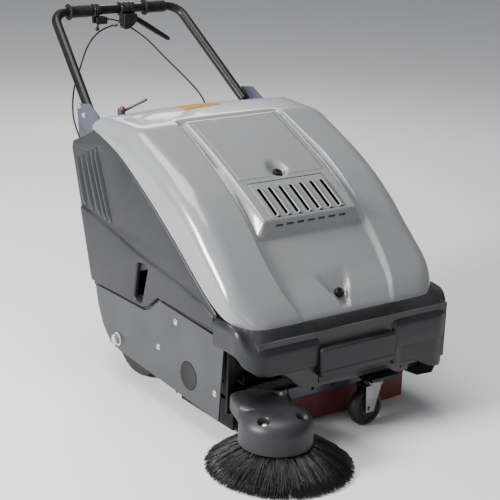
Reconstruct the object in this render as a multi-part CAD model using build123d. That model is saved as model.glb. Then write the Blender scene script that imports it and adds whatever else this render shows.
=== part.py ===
from build123d import *
import os
from math import atan2, cos, degrees, hypot, radians, sin, tan

# Walk-behind sweeper, millimetres.  The model is drawn about the machine's middle plane (x = 0),
# front towards -Y, floor at z = 0, and every part is moved by ORIGIN when it is written, so that
# the stored frame has its origin under the middle of the whole machine's box.

os.makedirs("parts", exist_ok=True)

# ---- driving dimensions -------------------------------------------------------------------
HOOD_HALF = 326          # hood side wall, outside
HOOD_WALL = 4
COVER_IN, COVER_OUT = 318, 334    # moulded side cover, inner and outer face
SKIRT_IN, SKIRT_OUT = 325, 328    # painted steel skirt
SHOULDER_R = 56          # rounding of the hood's long shoulders
SEAM = 2                 # gap between the hood's edge and the side cover

WHEEL_R, WHEEL_WIDTH, WHEEL_OUT = 115, 46, 272
AXLE_Y, AXLE_Z, AXLE_R = 170, 115, 10
RUN = 0.05               # radial running clearance of a shaft in its bore
GAP = 0.4                # clearance between parts on different bodies

BRUSH_Y, BRUSH_Z, BRUSH_HALF, BRUSH_R = -181, 133, 255, 131.5
CHAMBER_R, CHAMBER_WALL, CHAMBER_HALF = 146, 4, 262
DECK_Z, DECK_T = 238, 4

SIDE_X, SIDE_Y, SIDE_R = -271, -503, 190
SIDE_TIP_Z = 1.5         # bristle tips just clear of the floor
COVER_R, COVER_TOP = 105, 149
ARM_PIVOT_Y, ARM_PIVOT_Z = -292, 150
ARM_PIN_R = 5

CASTER_X, CASTER_Y, CASTER_PLATE_Z = 86, -419, 132
CASTER_WHEEL_R, CASTER_WHEEL_W, CASTER_TRAIL = 50, 26, 20

BAR_Y, BAR_Z, BAR_HALF = 750, 917, 214
TUBE_R, TUBE_BEND = 14, 50
FOOT_X, FOOT_Y, FOOT_Z = 260.5, 440, 676.8    # lower end of each side tube

MOTOR_Y, MOTOR_Z = -20, 345
MOTOR_R, MOTOR_PULLEY_R, BRUSH_PULLEY_R = 55, 32, 60
BELT_X, BELT_WIDTH, BELT_T = 281, 14, 6
DRIVE_Y, DRIVE_Z, DRIVE_PULLEY_R, WHEEL_PULLEY_R = 20, 190, 24, 70
DRIVE_BELT_X = -212

HINGE_Y, HINGE_Z = 332, 684
CABLE_R = 2.5

AXLE_HALF = 344          # outermost point on the right
FLANGE_R = TUBE_R + 10   # grip flange, the rearmost point
ORIGIN = Pos(((-SIDE_X + SIDE_R) - AXLE_HALF) / 2, ((-SIDE_Y + SIDE_R) - (BAR_Y + FLANGE_R)) / 2, 0)

# Routes of the two control cables: straight runs between hand-placed points.
DRIVE_CABLE = [
    (-22, 735, 871), (-52, 735, 864), (-85, 730, 847), (-120, 714, 819), (-151, 688, 784),
    (-181, 655, 757), (-216, 615, 735), (-243, 578, 709), (-264, 543, 682), (-281, 507, 658),
    (-290, 472, 635), (-292, 442, 606),
]
FLAP_CABLE = [
    (-28, 746, 889), (-2, 753, 884), (27, 759, 873), (56, 756, 856), (71, 733, 842),
    (76, 690, 828), (74, 642, 812), (71, 590, 795), (72, 536, 775), (76, 482, 752),
    (78, 430, 730), (77, 386, 708), (76, 362, 680), (76, 354, 652),
]


# ---- helpers ------------------------------------------------------------------------------
def box(x, y, z):
    """A block from three (low, high) pairs."""
    middle = [(low + high) / 2 for low, high in (x, y, z)]
    return Pos(*middle) * Box(x[1] - x[0], y[1] - y[0], z[1] - z[0])


def rod_x(y, z, x0, x1, radius):
    """A round bar along X."""
    return Pos((x0 + x1) / 2, y, z) * Rot(0, 90, 0) * Cylinder(radius, x1 - x0)


def rod_y(x, z, y0, y1, radius):
    """A round bar along Y."""
    return Pos(x, (y0 + y1) / 2, z) * Rot(90, 0, 0) * Cylinder(radius, y1 - y0)


def rod_z(x, y, z0, z1, radius):
    """A round bar along Z."""
    return Pos(x, y, (z0 + z1) / 2) * Cylinder(radius, z1 - z0)


def side_plate(outline, x0, x1):
    """A plate in the YZ plane between two X positions."""
    face = make_face(Polyline(*[(x0, y, z) for y, z in outline], close=True))
    return extrude(face, amount=x1 - x0, dir=(1, 0, 0))


def front_plate(outline, y0, y1):
    """A plate in the XZ plane between two Y positions."""
    face = make_face(Polyline(*[(x, y0, z) for x, z in outline], close=True))
    return extrude(face, amount=y1 - y0, dir=(0, 1, 0))


def group(parts):
    """Separate solids that share one node."""
    return Compound(list(parts))


def capsule(start, end, radius):
    """A round bar between two points."""
    a, b = Vector(*start), Vector(*end)
    plane = Plane(origin=a, z_dir=b - a)
    return extrude(plane * Circle(radius), amount=(b - a).length)


def corner_radii(route):
    """The radius of each corner of a cable's route, and the turn in degrees."""
    radii = []
    for before, corner, after in zip(route, route[1:], route[2:]):
        into, out = Vector(*corner) - Vector(*before), Vector(*after) - Vector(*corner)
        turn = into.get_angle(out)
        radii.append(0.45 * min(into.length, out.length) / tan(radians(turn) / 2))
    return radii


def cable(name, route):
    """A control cable: straight runs joined by tangent arcs."""
    radii = corner_radii(route)
    path = FilletPolyline(*route, radius=radii)
    plane = Plane(origin=Vector(*route[0]), z_dir=Vector(*route[1]) - Vector(*route[0]))
    tube = sweep(plane * Circle(CABLE_R), path=path)
    expected = 3.14159265 * CABLE_R ** 2 * path.length
    print(name, "length", round(path.length, 1), "volume/expected", round(tube.volume / expected, 4))
    print("   radii", [round(radius) for radius in radii])
    return tube


def belt(x, y0, z0, r0, y1, z1, r1):
    """A flat belt round two pulleys, as the hull of two discs less its own inside."""
    def loop(grow, half_width):
        tilt = atan2(z1 - z0, y1 - y0)
        lean = (r0 - r1) / hypot(y1 - y0, z1 - z0)
        side = radians(90) - lean
        a, b = r0 + grow, r1 + grow
        corners = []
        for angle, y, z, r in ((tilt + side, y0, z0, a), (tilt + side, y1, z1, b),
                               (tilt - side, y1, z1, b), (tilt - side, y0, z0, a)):
            corners.append((y + r * cos(angle), z + r * sin(angle)))
        low, high = x - half_width, x + half_width
        body = side_plate(corners, low, high)
        return body + rod_x(y0, z0, low, high, a) + rod_x(y1, z1, low, high, b)
    return loop(GAP + BELT_T, BELT_WIDTH / 2) - loop(GAP, BELT_WIDTH)


# ---- hood ---------------------------------------------------------------------------------
HOOD_CROWN = [(322, 716), (100, 716), (-173, 577), (-392, 358), (-408, 300)]
HOOD_BENDS = [600, 900, 60]


def hood_profile(inset):
    """Side view of the hood's outside: straight flanks joined by tangent arcs, drawn in by inset."""
    corners = [Vector(0, *point) for point in HOOD_CROWN]
    flanks = [(b - a).normalized() for a, b in zip(corners, corners[1:])]
    inward = [Vector(0, -flank.Z, flank.Y) for flank in flanks]
    normals = [inward[0]] + [(a + b) / (1 + a.dot(b)) for a, b in zip(inward, inward[1:])] + [inward[-1]]
    moved = [corner + normal * inset for corner, normal in zip(corners, normals)]
    moved[0] = moved[0] + flanks[0] * inset
    return FilletPolyline(*moved, radius=[bend - inset for bend in HOOD_BENDS])


HOOD_EDGE = [
    (323, 678), (174, 634), (21, 549), (-77, 487), (-172, 421), (-242, 371), (-274, 350),
    (-332, 332), (-396, 325),
]


def hood_envelope(inset, rounding):
    """The hood as a tall block with its long shoulders rounded."""
    half = HOOD_HALF - inset
    crown = hood_profile(inset)
    floor = [crown @ 1, Vector(0, -408 + inset, 200), Vector(0, 322 - inset, 200), crown @ 0]
    face = make_face(crown.edges() + [Line(a, b) for a, b in zip(floor, floor[1:])])
    body = Pos(-half, 0, 0) * extrude(face, amount=2 * half, dir=(1, 0, 0))
    middles = [edge @ 0.5 for edge in crown.edges()]
    shoulders = [
        edge for edge in body.edges()
        if any((edge @ 0.5 - Vector(side * half, 0, 0) - middle).length < 2
               for side in (-1, 1) for middle in middles)
    ]
    return fillet(shoulders, rounding)


def hood_band():
    """The hood's wall before anything is cut in it."""
    below = [(330, 100), (330, 678), (322, 678)] + HOOD_EDGE[1:-1] + [(-396, 325), (-420, 303), (-420, 100)]
    shell = hood_envelope(0, SHOULDER_R) - hood_envelope(HOOD_WALL, SHOULDER_R - HOOD_WALL)
    return shell - side_plate(below, -400, 400)


LID_TILT = 25            # the lid's own slope, degrees down towards the front
LID_X, LID_Y0, LID_Y1 = 138, -108, 128
GRILLE_X, GRILLE_Y0, GRILLE_Y1 = 118, -238, -122


def tilted_block(half, low, high, tilt, middle):
    """A tall block square to the hood's surface, for cutting a hatch."""
    length = (high - low) / cos(radians(tilt))
    y, z = middle
    return Pos(0, y, z) * Rot(tilt, 0, 0) * Box(2 * half, length, 90)


def lid_block(clearance):
    return tilted_block(LID_X - clearance, LID_Y0 + clearance, LID_Y1 - clearance, LID_TILT, (10, 662))


def grille_block(clearance):
    return tilted_block(GRILLE_X - clearance, GRILLE_Y0 + clearance, GRILLE_Y1 - clearance, 36, (-182, 556))


def make_hood():
    band = hood_band()
    shell = band - lid_block(0) - grille_block(0)
    lid = band & lid_block(1.2)
    slots = [
        Pos(index * 34, -182, 556) * Rot(36, 0, 0) * Box(16, 92, 120) for index in range(-3, 4)
    ]
    grille = band & grille_block(0)
    for slot in slots:
        grille -= slot
    return shell, lid, grille


# ---- side panels --------------------------------------------------------------------------
COVER_OUTLINE = [
    (309, 674), (353, 650), (426, 619), (431, 599), (312, 245), (106, 248), (40, 250), (10, 262),
    (-33, 298), (-296, 298),
]
SKIRT_OUTLINE = [
    (296, 236), (281, 184), (254, 133), (210, 92), (155, 83), (56, 79), (-319, 59), (-333, 277),
    (-36, 290), (6, 254), (40, 241),
]


def cover_outline():
    edge = [(y, z - SEAM - 1) for y, z in HOOD_EDGE[1:-1]]
    return COVER_OUTLINE + [(-296, 340)] + list(reversed(edge[:-1]))


def side_cover(side):
    """A moulded side cover: its five louvres and the hand slot are real openings."""
    plate = side_plate(cover_outline(), COVER_IN, COVER_OUT)
    tops = [(396, 582), (370, 593), (345, 608), (321, 619), (299, 629)]
    feet = [(348, 450), (309, 446), (270, 442), (237, 436), (212, 432)]
    for (y0, z0), (y1, z1) in zip(tops, feet):
        plate -= side_plate([(y0, z0 - 20), (y0 + 9, z0 - 24), (y1 + 9, z1 + 6), (y1, z1 + 10)], 300, 350)
    plate -= side_plate([(67, 367), (14, 372), (43, 262), (82, 262)], 300, 350)
    return plate if side > 0 else mirror(plate, about=Plane.YZ)


RIGHT_FENDER = [(-283, 45), (-332, 50), (-386, 78), (-404, 120), (-408, 166), (-408, 240)]


def side_skirt(side):
    """Painted steel skirt; the right one runs on forward as a fender beside the hopper."""
    outline = list(SKIRT_OUTLINE)
    if side > 0:
        outline[6:7] = RIGHT_FENDER
    plate = side_plate(outline, SKIRT_IN, SKIRT_OUT)
    plate -= rod_x(AXLE_Y, AXLE_Z, 300, 350, AXLE_R)
    plate -= rod_x(BRUSH_Y, BRUSH_Z, 300, 350, 38)
    for y, z in SCREW_SPOTS:
        plate -= rod_x(y, z, 300, 350, 4)
    return plate if side > 0 else mirror(plate, about=Plane.YZ)


SCREW_SPOTS = [(-115, 258), (-35, 162), (-300, 128)]


REAR_FOOT = (315, 248)


def rear_panel():
    """Sloping rear wall and control console between the two side covers."""
    outside = [(345, 652), (353, 650), (426, 619), (426, 600), REAR_FOOT]
    inside = [(310, 248), (421, 601), (421, 616), (352, 646), (345, 648)]
    return side_plate(outside + inside, -COVER_IN, COVER_IN)


# ---- chassis ------------------------------------------------------------------------------
def chassis_frame():
    """Deck over the wheels, two side rails, a front crossmember and the caster outrigger."""
    frame = box((-COVER_IN, COVER_IN), (-25, 300), (DECK_Z, DECK_Z + DECK_T))
    frame += box((-COVER_IN, COVER_IN), (-342, -332), (86, 146))
    frame += box((40, 132), (-470, -342), (138, 146))
    for side in (-1, 1):
        low, high = side * 307 - 11, side * 307 + 11
        frame += box((low, high), (-342, 300), (DECK_Z + DECK_T, DECK_Z + 34))
        frame += box((low, high), (-342, -326), (146, DECK_Z + DECK_T))
    return frame


def brush_chamber():
    """Half-round steel housing over the main brush, with its end plates."""
    outer_r = CHAMBER_R + CHAMBER_WALL
    shell = rod_x(BRUSH_Y, BRUSH_Z, -CHAMBER_HALF, CHAMBER_HALF, outer_r)
    shell -= rod_x(BRUSH_Y, BRUSH_Z, -CHAMBER_HALF + CHAMBER_WALL, CHAMBER_HALF - CHAMBER_WALL, CHAMBER_R)
    shell -= box((-300, 300), (-400, 0), (-50, 90))
    shell -= box((-258, 258), (-400, BRUSH_Y - 60), (-50, 215))
    shell -= rod_x(BRUSH_Y, BRUSH_Z, -300, 300, 12 + RUN)
    return shell + rod_x(ARM_PIVOT_Y, ARM_PIVOT_Z, -295, -CHAMBER_HALF + 1, ARM_PIN_R)


def batteries():
    return group(box((x, x + 258), (105, 275), (DECK_Z + DECK_T + 2, 452)) for x in (-262, 4))


def main_motor():
    body = rod_x(MOTOR_Y, MOTOR_Z, 40, 230, MOTOR_R) + rod_x(MOTOR_Y, MOTOR_Z, 30, 245, 40)
    foot = box((60, 210), (MOTOR_Y - 45, MOTOR_Y + 45), (DECK_Z + DECK_T + 2, MOTOR_Z - 30))
    return body + foot - rod_x(MOTOR_Y, MOTOR_Z, 0, 300, 9 + RUN)


def fan_housing():
    drum = rod_x(MOTOR_Y, MOTOR_Z, -70, 24, 98) - rod_x(MOTOR_Y, MOTOR_Z, -66, 20, 94)
    inlet = rod_x(MOTOR_Y, MOTOR_Z, -72, -60, 40)
    return drum - inlet - rod_x(MOTOR_Y, MOTOR_Z, 0, 40, 12)


def filter_panel():
    """Pleated filter box above the brush chamber."""
    frame = box((-200, 200), (-300, -190), (292, 352))
    for index in range(9):
        frame -= box((-192 + index * 43, -192 + index * 43 + 38), (-292, -198), (300, 360))
    return frame


def motor_shaft():
    shaft = rod_x(MOTOR_Y, MOTOR_Z, -50, 292, 9)
    pulley = rod_x(MOTOR_Y, MOTOR_Z, BELT_X - 8, BELT_X + 8, MOTOR_PULLEY_R)
    return shaft + pulley


def fan_impeller():
    plate = rod_x(MOTOR_Y, MOTOR_Z, -8, -2, 86) + rod_x(MOTOR_Y, MOTOR_Z, -40, -2, 24)
    for index in range(12):
        blade = box((-44, -6), (MOTOR_Y + 40, MOTOR_Y + 84), (MOTOR_Z - 2, MOTOR_Z + 2))
        plate += Pos(0, MOTOR_Y, MOTOR_Z) * Rot(index * 30, 0, 0) * Pos(0, -MOTOR_Y, -MOTOR_Z) * blade
    return plate - rod_x(MOTOR_Y, MOTOR_Z, -60, 10, 9)


def main_brush():
    core = rod_x(BRUSH_Y, BRUSH_Z, -BRUSH_HALF, BRUSH_HALF, 52)
    core += rod_x(BRUSH_Y, BRUSH_Z, -CHAMBER_HALF - 4, BELT_X + 9, 12)
    bristles = rod_x(BRUSH_Y, BRUSH_Z, -BRUSH_HALF + 4, BRUSH_HALF - 4, BRUSH_R)
    bristles -= rod_x(BRUSH_Y, BRUSH_Z, -300, 300, 52)
    pulley = rod_x(BRUSH_Y, BRUSH_Z, BELT_X - 8, BELT_X + 8, BRUSH_PULLEY_R)
    pulley -= rod_x(BRUSH_Y, BRUSH_Z, 260, 300, 12)
    return core, bristles, pulley


def rubber_skirts():
    """Rear dust flap and the two side flaps of the brush chamber."""
    rear = box((-CHAMBER_HALF, CHAMBER_HALF), (-26, -22), (12, 128))
    sides = [box((s * 266 - 2, s * 266 + 2), (-300, -60), (12, 84)) for s in (-1, 1)]
    return group([rear] + sides)


# ---- wheels -------------------------------------------------------------------------------
def wheel(side):
    """Tyre and rim of one rear wheel; the left rim carries the drive pulley."""
    low, high = sorted((side * WHEEL_OUT, side * (WHEEL_OUT - WHEEL_WIDTH)))
    tyre = rod_x(AXLE_Y, AXLE_Z, low, high, WHEEL_R) - rod_x(AXLE_Y, AXLE_Z, low - 1, high + 1, 80)
    rim = rod_x(AXLE_Y, AXLE_Z, low + 5, high - 5, 80) + rod_x(AXLE_Y, AXLE_Z, low - 3, high + 3, 26)
    if side < 0:
        rim += rod_x(AXLE_Y, AXLE_Z, high - 6, DRIVE_BELT_X + 8, WHEEL_PULLEY_R)
    return rim - rod_x(AXLE_Y, AXLE_Z, -320, 320, AXLE_R + RUN), tyre


def rear_axle():
    """Fixed through axle with a nut and washer outside each skirt."""
    axle = rod_x(AXLE_Y, AXLE_Z, -AXLE_HALF, AXLE_HALF, AXLE_R)
    for side in (-1, 1):
        low, high = sorted((side * SKIRT_OUT, side * (SKIRT_OUT + 3)))
        axle += rod_x(AXLE_Y, AXLE_Z, low, high, 19)
        nut = Pos(side * (SKIRT_OUT + 8), AXLE_Y, AXLE_Z) * Rot(0, 90, 0)
        axle += nut * extrude(RegularPolygon(16, 6), amount=5, both=True)
    return axle


def traction():
    """Gear motor that drives the left wheel by a belt."""
    motor = rod_x(DRIVE_Y, DRIVE_Z, -190, -60, 36) + box((-180, -80), (-10, 50), (DRIVE_Z, DECK_Z - 0.5))
    motor -= rod_x(DRIVE_Y, DRIVE_Z, -230, -100, 8 + RUN)
    pulley = rod_x(DRIVE_Y, DRIVE_Z, DRIVE_BELT_X - 8, DRIVE_BELT_X + 8, DRIVE_PULLEY_R)
    pulley += rod_x(DRIVE_Y, DRIVE_Z, DRIVE_BELT_X, -105, 8)
    return motor, pulley


# ---- handle -------------------------------------------------------------------------------
def handle_tube():
    route = [(-FOOT_X, FOOT_Y, FOOT_Z), (-BAR_HALF, BAR_Y, BAR_Z), (BAR_HALF, BAR_Y, BAR_Z),
             (FOOT_X, FOOT_Y, FOOT_Z)]
    path = FilletPolyline(*route, radius=TUBE_BEND)
    start = Plane(origin=Vector(*route[0]), z_dir=Vector(*route[1]) - Vector(*route[0]))
    return sweep(start * Circle(TUBE_R), path=path)


CONSOLE = [(353, 650), (426, 619)]      # the console's sloping top, seen from the side


def console_z(y):
    (y0, z0), (y1, z1) = CONSOLE
    return z0 + (y - y0) * (z1 - z0) / (y1 - y0)


BRACKET_OUTLINE = [
    (489, 695), (485, 706), (422, 718), (369, 693), (362, console_z(362)), (420, console_z(420)),
    (465, 606), (478, 622),
]
BRACKET_BOLTS = [(474, 703), (446, 681.5)]
BRACKET_X = 275.5


def handle_brackets():
    plate = side_plate(BRACKET_OUTLINE, BRACKET_X, BRACKET_X + 4)
    near, far = console_z(364), console_z(420)
    foot = [(364, near), (420, far), (420, far + 4), (364, near + 4)]
    plate += side_plate(foot, BRACKET_X, 300)
    for y, z in BRACKET_BOLTS:
        plate -= rod_x(y, z, 200, 300, 4.2)
    return group([plate, mirror(plate, about=Plane.YZ)])


def body_bolts():
    """Button-head screws of the skirts and the bolts of the handle brackets."""
    right = []
    for y, z in SCREW_SPOTS:
        right.append(rod_x(y, z, SKIRT_IN - 5, SKIRT_OUT, 3.9) + rod_x(y, z, SKIRT_OUT, SKIRT_OUT + 4, 9))
    for y, z in BRACKET_BOLTS:
        right.append(rod_x(y, z, BRACKET_X, BRACKET_X + 4, 4) + rod_x(y, z, BRACKET_X + 4, BRACKET_X + 10, 8))
    return group(right + [mirror(bolt, about=Plane.YZ) for bolt in right])


def handle_grips():
    grips = []
    for x0, x1, flange in ((-166, -92, -166), (94, 168, 94)):
        sleeve = rod_x(BAR_Y, BAR_Z, x0, x1, TUBE_R + 4)
        sleeve += rod_x(BAR_Y, BAR_Z, flange, flange + 6, FLANGE_R)
        grips.append(sleeve - rod_x(BAR_Y, BAR_Z, x0 - 1, x1 + 1, TUBE_R + RUN))
    return group(grips)


LEVER_PIVOT = (46, 735, 893)
FLAP_PIVOT = (-72, 733, 884)


def lever_brackets():
    """Cast clamps on the bar: the drive lever's in the middle, the flap lever's to its left."""
    centre = rod_x(BAR_Y, BAR_Z, 8, 56, TUBE_R + 7) + box((8, 56), (716, 748), (858, 905))
    centre += rod_x(735, 871, -22, 8, 4)
    centre -= box((34, 60), (726.5, 743.5), (850, 905))
    small = rod_x(BAR_Y, BAR_Z, -84, -64, TUBE_R + 6) + box((-84, -46), (722, 752), (877, 900))
    small += rod_x(746, 889, -46, -28, 4)
    small -= box((-90, -60), (727, 739), (870, 892.5))
    grip_room = rod_x(BAR_Y, BAR_Z, -100, 100, TUBE_R + RUN)
    return group([centre - grip_room, small - grip_room])


def drive_lever():
    """Long squeeze lever of the wheel drive."""
    x, y, z = LEVER_PIVOT
    blade = capsule((x, y, z), (112, y, 856), 6) + capsule((112, y, 856), (176, y, 818), 6)
    blade += Pos(112, y, 856) * Sphere(6.2) + Pos(177, y, 817) * Sphere(7)
    return blade + rod_y(x, z, y - 8, y + 8, 8)


def flap_lever():
    """Short trigger with a round end that lifts the front flap."""
    x, y, z = FLAP_PIVOT
    hub = rod_y(x, z, y - 5.5, y + 5.5, 5)
    return hub + capsule((x, y, z), (x - 3, y, z - 18), 3) + Pos(x - 3, y, z - 20) * Sphere(6)


# ---- front end ----------------------------------------------------------------------------


def hopper_fascia():
    """Bumper-shaped front wall of the dirt hopper, with returns along both sides."""
    outline = [
        (-334, 312), (-334, 262), (-300, 220), (-262, 214), (-122, 214), (-122, 250), (124, 250),
        (124, 168), (322, 168), (334, 180), (334, 312),
    ]
    wall = front_plate(outline, -446, -440)
    shelf = box((-334, 334), (-446, -410), (300, 306))
    left = box((-334, -329), (-440, -298), (262, 322))
    right = box((329, 334), (-440, -298), (190, 322))
    return wall + shelf + left + right


def hopper_grip():
    """Pull handle of the hopper: a hooded block with a finger pocket underneath."""
    block = box((-121, 123), (-462, -440), (184, 249)) - box((-100, 102), (-456, -430), (180, 226))
    return block


def hopper_tub():
    """Open-backed dirt tub behind the fascia; it clears the side brush and the caster."""
    outer = [(-300, 299), (-300, 236), (-212, 202), (-160, 156), (-20, 150), (312, 150), (312, 299)]
    inner = [(-296, 312), (-296, 239), (-210, 206), (-158, 160), (-20, 154), (308, 154), (308, 312)]
    tub = front_plate(outer, -439.5, -344)
    return tub - front_plate(inner, -435.5, -340)


FLAP_X = (-172, 260)
FLAP_Y, FLAP_Z = -342, 81           # the hinge rod, under the front crossmember


def front_flap():
    """Rubber flap that hangs behind the caster on its hinge rod."""
    low, high = FLAP_X
    sheet = box((low, high), (FLAP_Y - 2, FLAP_Y + 2), (10, FLAP_Z))
    return sheet + rod_x(FLAP_Y, FLAP_Z, low, high, 4)


def flap_strap():
    """Galvanised strap in front of the flap, standing off the crossmember."""
    strap = box((-170, 265), (-356, -353), (89, 119))
    for x in (-140, -60, 8, 158, 240):
        strap -= rod_y(x, 104, -370, -340, 5)
    for x in (-100, 190):
        strap += box((x - 12, x + 12), (-353, -342), (109, 113))
    return strap


def caster():
    """Swivel plate, fork and wheel; the wheel trails the swivel."""
    plate_z = CASTER_PLATE_Z
    plate = box((CASTER_X - 42, CASTER_X + 42), (CASTER_Y - 36, CASTER_Y + 36), (plate_z, 138))
    plate += rod_z(CASTER_X, CASTER_Y, plate_z - 8, plate_z, 26)
    plate -= rod_z(CASTER_X, CASTER_Y, plate_z - 20, 145, 7 + RUN)
    wheel_x = CASTER_X - CASTER_TRAIL
    half = CASTER_WHEEL_W / 2 + 3
    crown = rod_z(CASTER_X, CASTER_Y, plate_z - 18, plate_z - 8 - GAP, 28)
    crown += box((wheel_x - 16, CASTER_X + 16), (CASTER_Y - half - 4, CASTER_Y + half + 4),
                 (plate_z - 22, plate_z - 18))
    for side in (-1, 1):
        low, high = sorted((CASTER_Y + side * half, CASTER_Y + side * (half + 4)))
        leg = make_face(Polyline(
            (wheel_x - 16, low, plate_z - 18), (CASTER_X + 16, low, plate_z - 18),
            (wheel_x + 14, low, 40), (wheel_x - 12, low, 40), close=True))
        crown += extrude(leg, amount=high - low, dir=(0, 1, 0))
    crown += rod_z(CASTER_X, CASTER_Y, plate_z - 18, 137.5, 7)
    crown += rod_y(wheel_x, CASTER_WHEEL_R, CASTER_Y - half - 8, CASTER_Y + half + 8, 5)
    tyre = rod_y(wheel_x, CASTER_WHEEL_R, CASTER_Y - 13, CASTER_Y + 13, CASTER_WHEEL_R)
    tyre -= rod_y(wheel_x, CASTER_WHEEL_R, CASTER_Y - 40, CASTER_Y + 40, 5 + RUN)
    return plate, crown, tyre


# ---- side brush ---------------------------------------------------------------------------
def brush_cover():
    """Moulded cap over the side brush gearbox, with its neck back to the arm."""
    cap = rod_z(SIDE_X, SIDE_Y, 98, COVER_TOP, COVER_R)
    cap = fillet(cap.edges().sort_by(Axis.Z)[-1], 16)
    cap -= rod_z(SIDE_X, SIDE_Y, 90, COVER_TOP - 5, COVER_R - 6)
    return cap


def brush_arm():
    """Pressed arm from the chassis to the cover."""
    low, high = COVER_TOP + 1, COVER_TOP + 5
    arm = box((-294, -236), (-420, -346), (low, high)) + box((-294, -268), (-346, ARM_PIVOT_Y), (low, high))
    arm += rod_x(ARM_PIVOT_Y, ARM_PIVOT_Z, -294, -268, 9)
    return arm - rod_x(ARM_PIVOT_Y, ARM_PIVOT_Z, -300, -260, ARM_PIN_R + RUN)


def side_brush():
    motor = rod_z(SIDE_X, SIDE_Y, 104, COVER_TOP - 7, 42) - rod_z(SIDE_X, SIDE_Y, 100, 130, 9 + RUN)
    disc = rod_z(SIDE_X, SIDE_Y, 70, 88, 82) + rod_z(SIDE_X, SIDE_Y, 88, 126, 9)
    outer = [(60, 69.6), (60, 50), (130, SIDE_TIP_Z), (SIDE_R, SIDE_TIP_Z), (SIDE_R - 8, SIDE_TIP_Z + 5),
             (82, 69.6)]
    face = make_face(Polyline(*[(r, 0, z) for r, z in outer], close=True))
    bristles = Pos(SIDE_X, SIDE_Y, 0) * revolve(face, axis=Axis.Z)
    return motor, disc, bristles


def cover_screws():
    spots = [(75 * cos(radians(a)), 75 * sin(radians(a))) for a in (30, 150, 270)]
    return group(rod_z(SIDE_X + dx, SIDE_Y + dy, 118, COVER_TOP - 5, 4) for dx, dy in spots)


# ---- small parts --------------------------------------------------------------------------
CLAMP_X, CLAMP_Y = -213, 350


def clamp():
    base = rod_z(CLAMP_X, CLAMP_Y + 4, 655, 694, 11)
    lever = rod_z(CLAMP_X, CLAMP_Y + 4, 694.4, 712, 11)
    lever += capsule((CLAMP_X + 4, CLAMP_Y + 4, 704), (CLAMP_X + 76, CLAMP_Y - 2, 730), 6)
    return base, lever


def screw_on_hood(y, z, tilt, depth, radius):
    """A round screw or knob standing square to the hood."""
    return Pos(0, y, z) * Rot(tilt, 0, 0) * Cylinder(radius, depth)


def key():
    """Ignition key in the console."""
    stem = rod_z(150, 388, 637.5, 644, 5)
    return stem + box((148, 152), (376, 400), (644, 662))


def write(name, shape):
    export_step(ORIGIN * shape, f"parts/{name}.step")


def main():
    hood, lid, grille = make_hood()
    left_rim, left_tyre = wheel(-1)
    right_rim, right_tyre = wheel(1)
    core, bristles, pulley = main_brush()
    traction_motor, traction_pulley = traction()
    caster_plate, caster_fork, caster_wheel = caster()
    side_motor, side_disc, side_bristles = side_brush()
    clamp_base, clamp_lever = clamp()
    cap = rod_x(BRUSH_Y, BRUSH_Z, SKIRT_IN - 6, SKIRT_OUT + 1.5, 37.5)
    nodes = {
        "hood_shell": hood, "hood_lid": lid, "grille_panel": grille,
        "hood_knob": screw_on_hood(-368, 366, 45, 24, 8),
        "lid_screw": screw_on_hood(-84, 612, LID_TILT, 14, 7),
        "hood_hinges": group(rod_x(HINGE_Y, HINGE_Z, s * 250 - 20, s * 250 + 20, 6) +
                             box((s * 250 - 15, s * 250 + 15), (322, HINGE_Y), (680, 688)) for s in (-1, 1)),
        "side_cover_left": side_cover(-1), "side_cover_right": side_cover(1),
        "side_skirt_left": side_skirt(-1), "side_skirt_right": side_skirt(1),
        "rear_panel": rear_panel(), "chassis_frame": chassis_frame(), "brush_chamber": brush_chamber(),
        "batteries": batteries(), "main_motor": main_motor(), "fan_housing": fan_housing(),
        "filter_panel": filter_panel(), "motor_shaft": motor_shaft(), "fan_impeller": fan_impeller(),
        "main_drive_belt": belt(BELT_X, MOTOR_Y, MOTOR_Z, MOTOR_PULLEY_R, BRUSH_Y, BRUSH_Z, BRUSH_PULLEY_R),
        "main_brush_core": core, "main_brush_bristles": bristles, "main_brush_pulley": pulley,
        "rubber_skirts": rubber_skirts(),
        "wheel_left": left_rim, "tyre_left": left_tyre, "wheel_right": right_rim, "tyre_right": right_tyre,
        "rear_axle": rear_axle(), "traction_motor": traction_motor, "traction_pulley": traction_pulley,
        "traction_belt": belt(DRIVE_BELT_X, DRIVE_Y, DRIVE_Z, DRIVE_PULLEY_R, AXLE_Y, AXLE_Z, WHEEL_PULLEY_R),
        "handle_tube": handle_tube(), "handle_brackets": handle_brackets(), "body_bolts": body_bolts(),
        "handle_grips": handle_grips(), "lever_brackets": lever_brackets(), "drive_lever": drive_lever(),
        "flap_lever": flap_lever(),
        "drive_cable": cable("drive cable", DRIVE_CABLE), "flap_cable": cable("flap cable", FLAP_CABLE),
        "cable_grommets": group([rod_z(76, 354, 640, 652, 7), rod_z(-292, 442, 592, 606, 7)]),
        "hopper_fascia": hopper_fascia(), "hopper_grip": hopper_grip(), "hopper_tub": hopper_tub(),
        "front_flap": front_flap(), "flap_strap": flap_strap(),
        "caster_plate": caster_plate, "caster_fork": caster_fork, "caster_wheel": caster_wheel,
        "brush_arm": brush_arm(), "brush_cover": brush_cover(), "cover_screws": cover_screws(),
        "side_brush_motor": side_motor, "side_brush_disc": side_disc, "side_brush_bristles": side_bristles,
        "brush_caps": group([cap, mirror(cap, about=Plane.YZ)]),
        "clamp_base": clamp_base, "clamp_lever": clamp_lever, "ignition_key": key(),
    }
    for name, shape in nodes.items():
        write(name, shape)
    print(len(nodes), "nodes")


if __name__ == "__main__":
    main()
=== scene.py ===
import math
import random

import bmesh
import bpy
import numpy as np
from bpy.props import FloatProperty, FloatVectorProperty, IntProperty, PointerProperty
from mathutils import Matrix, Vector


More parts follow.
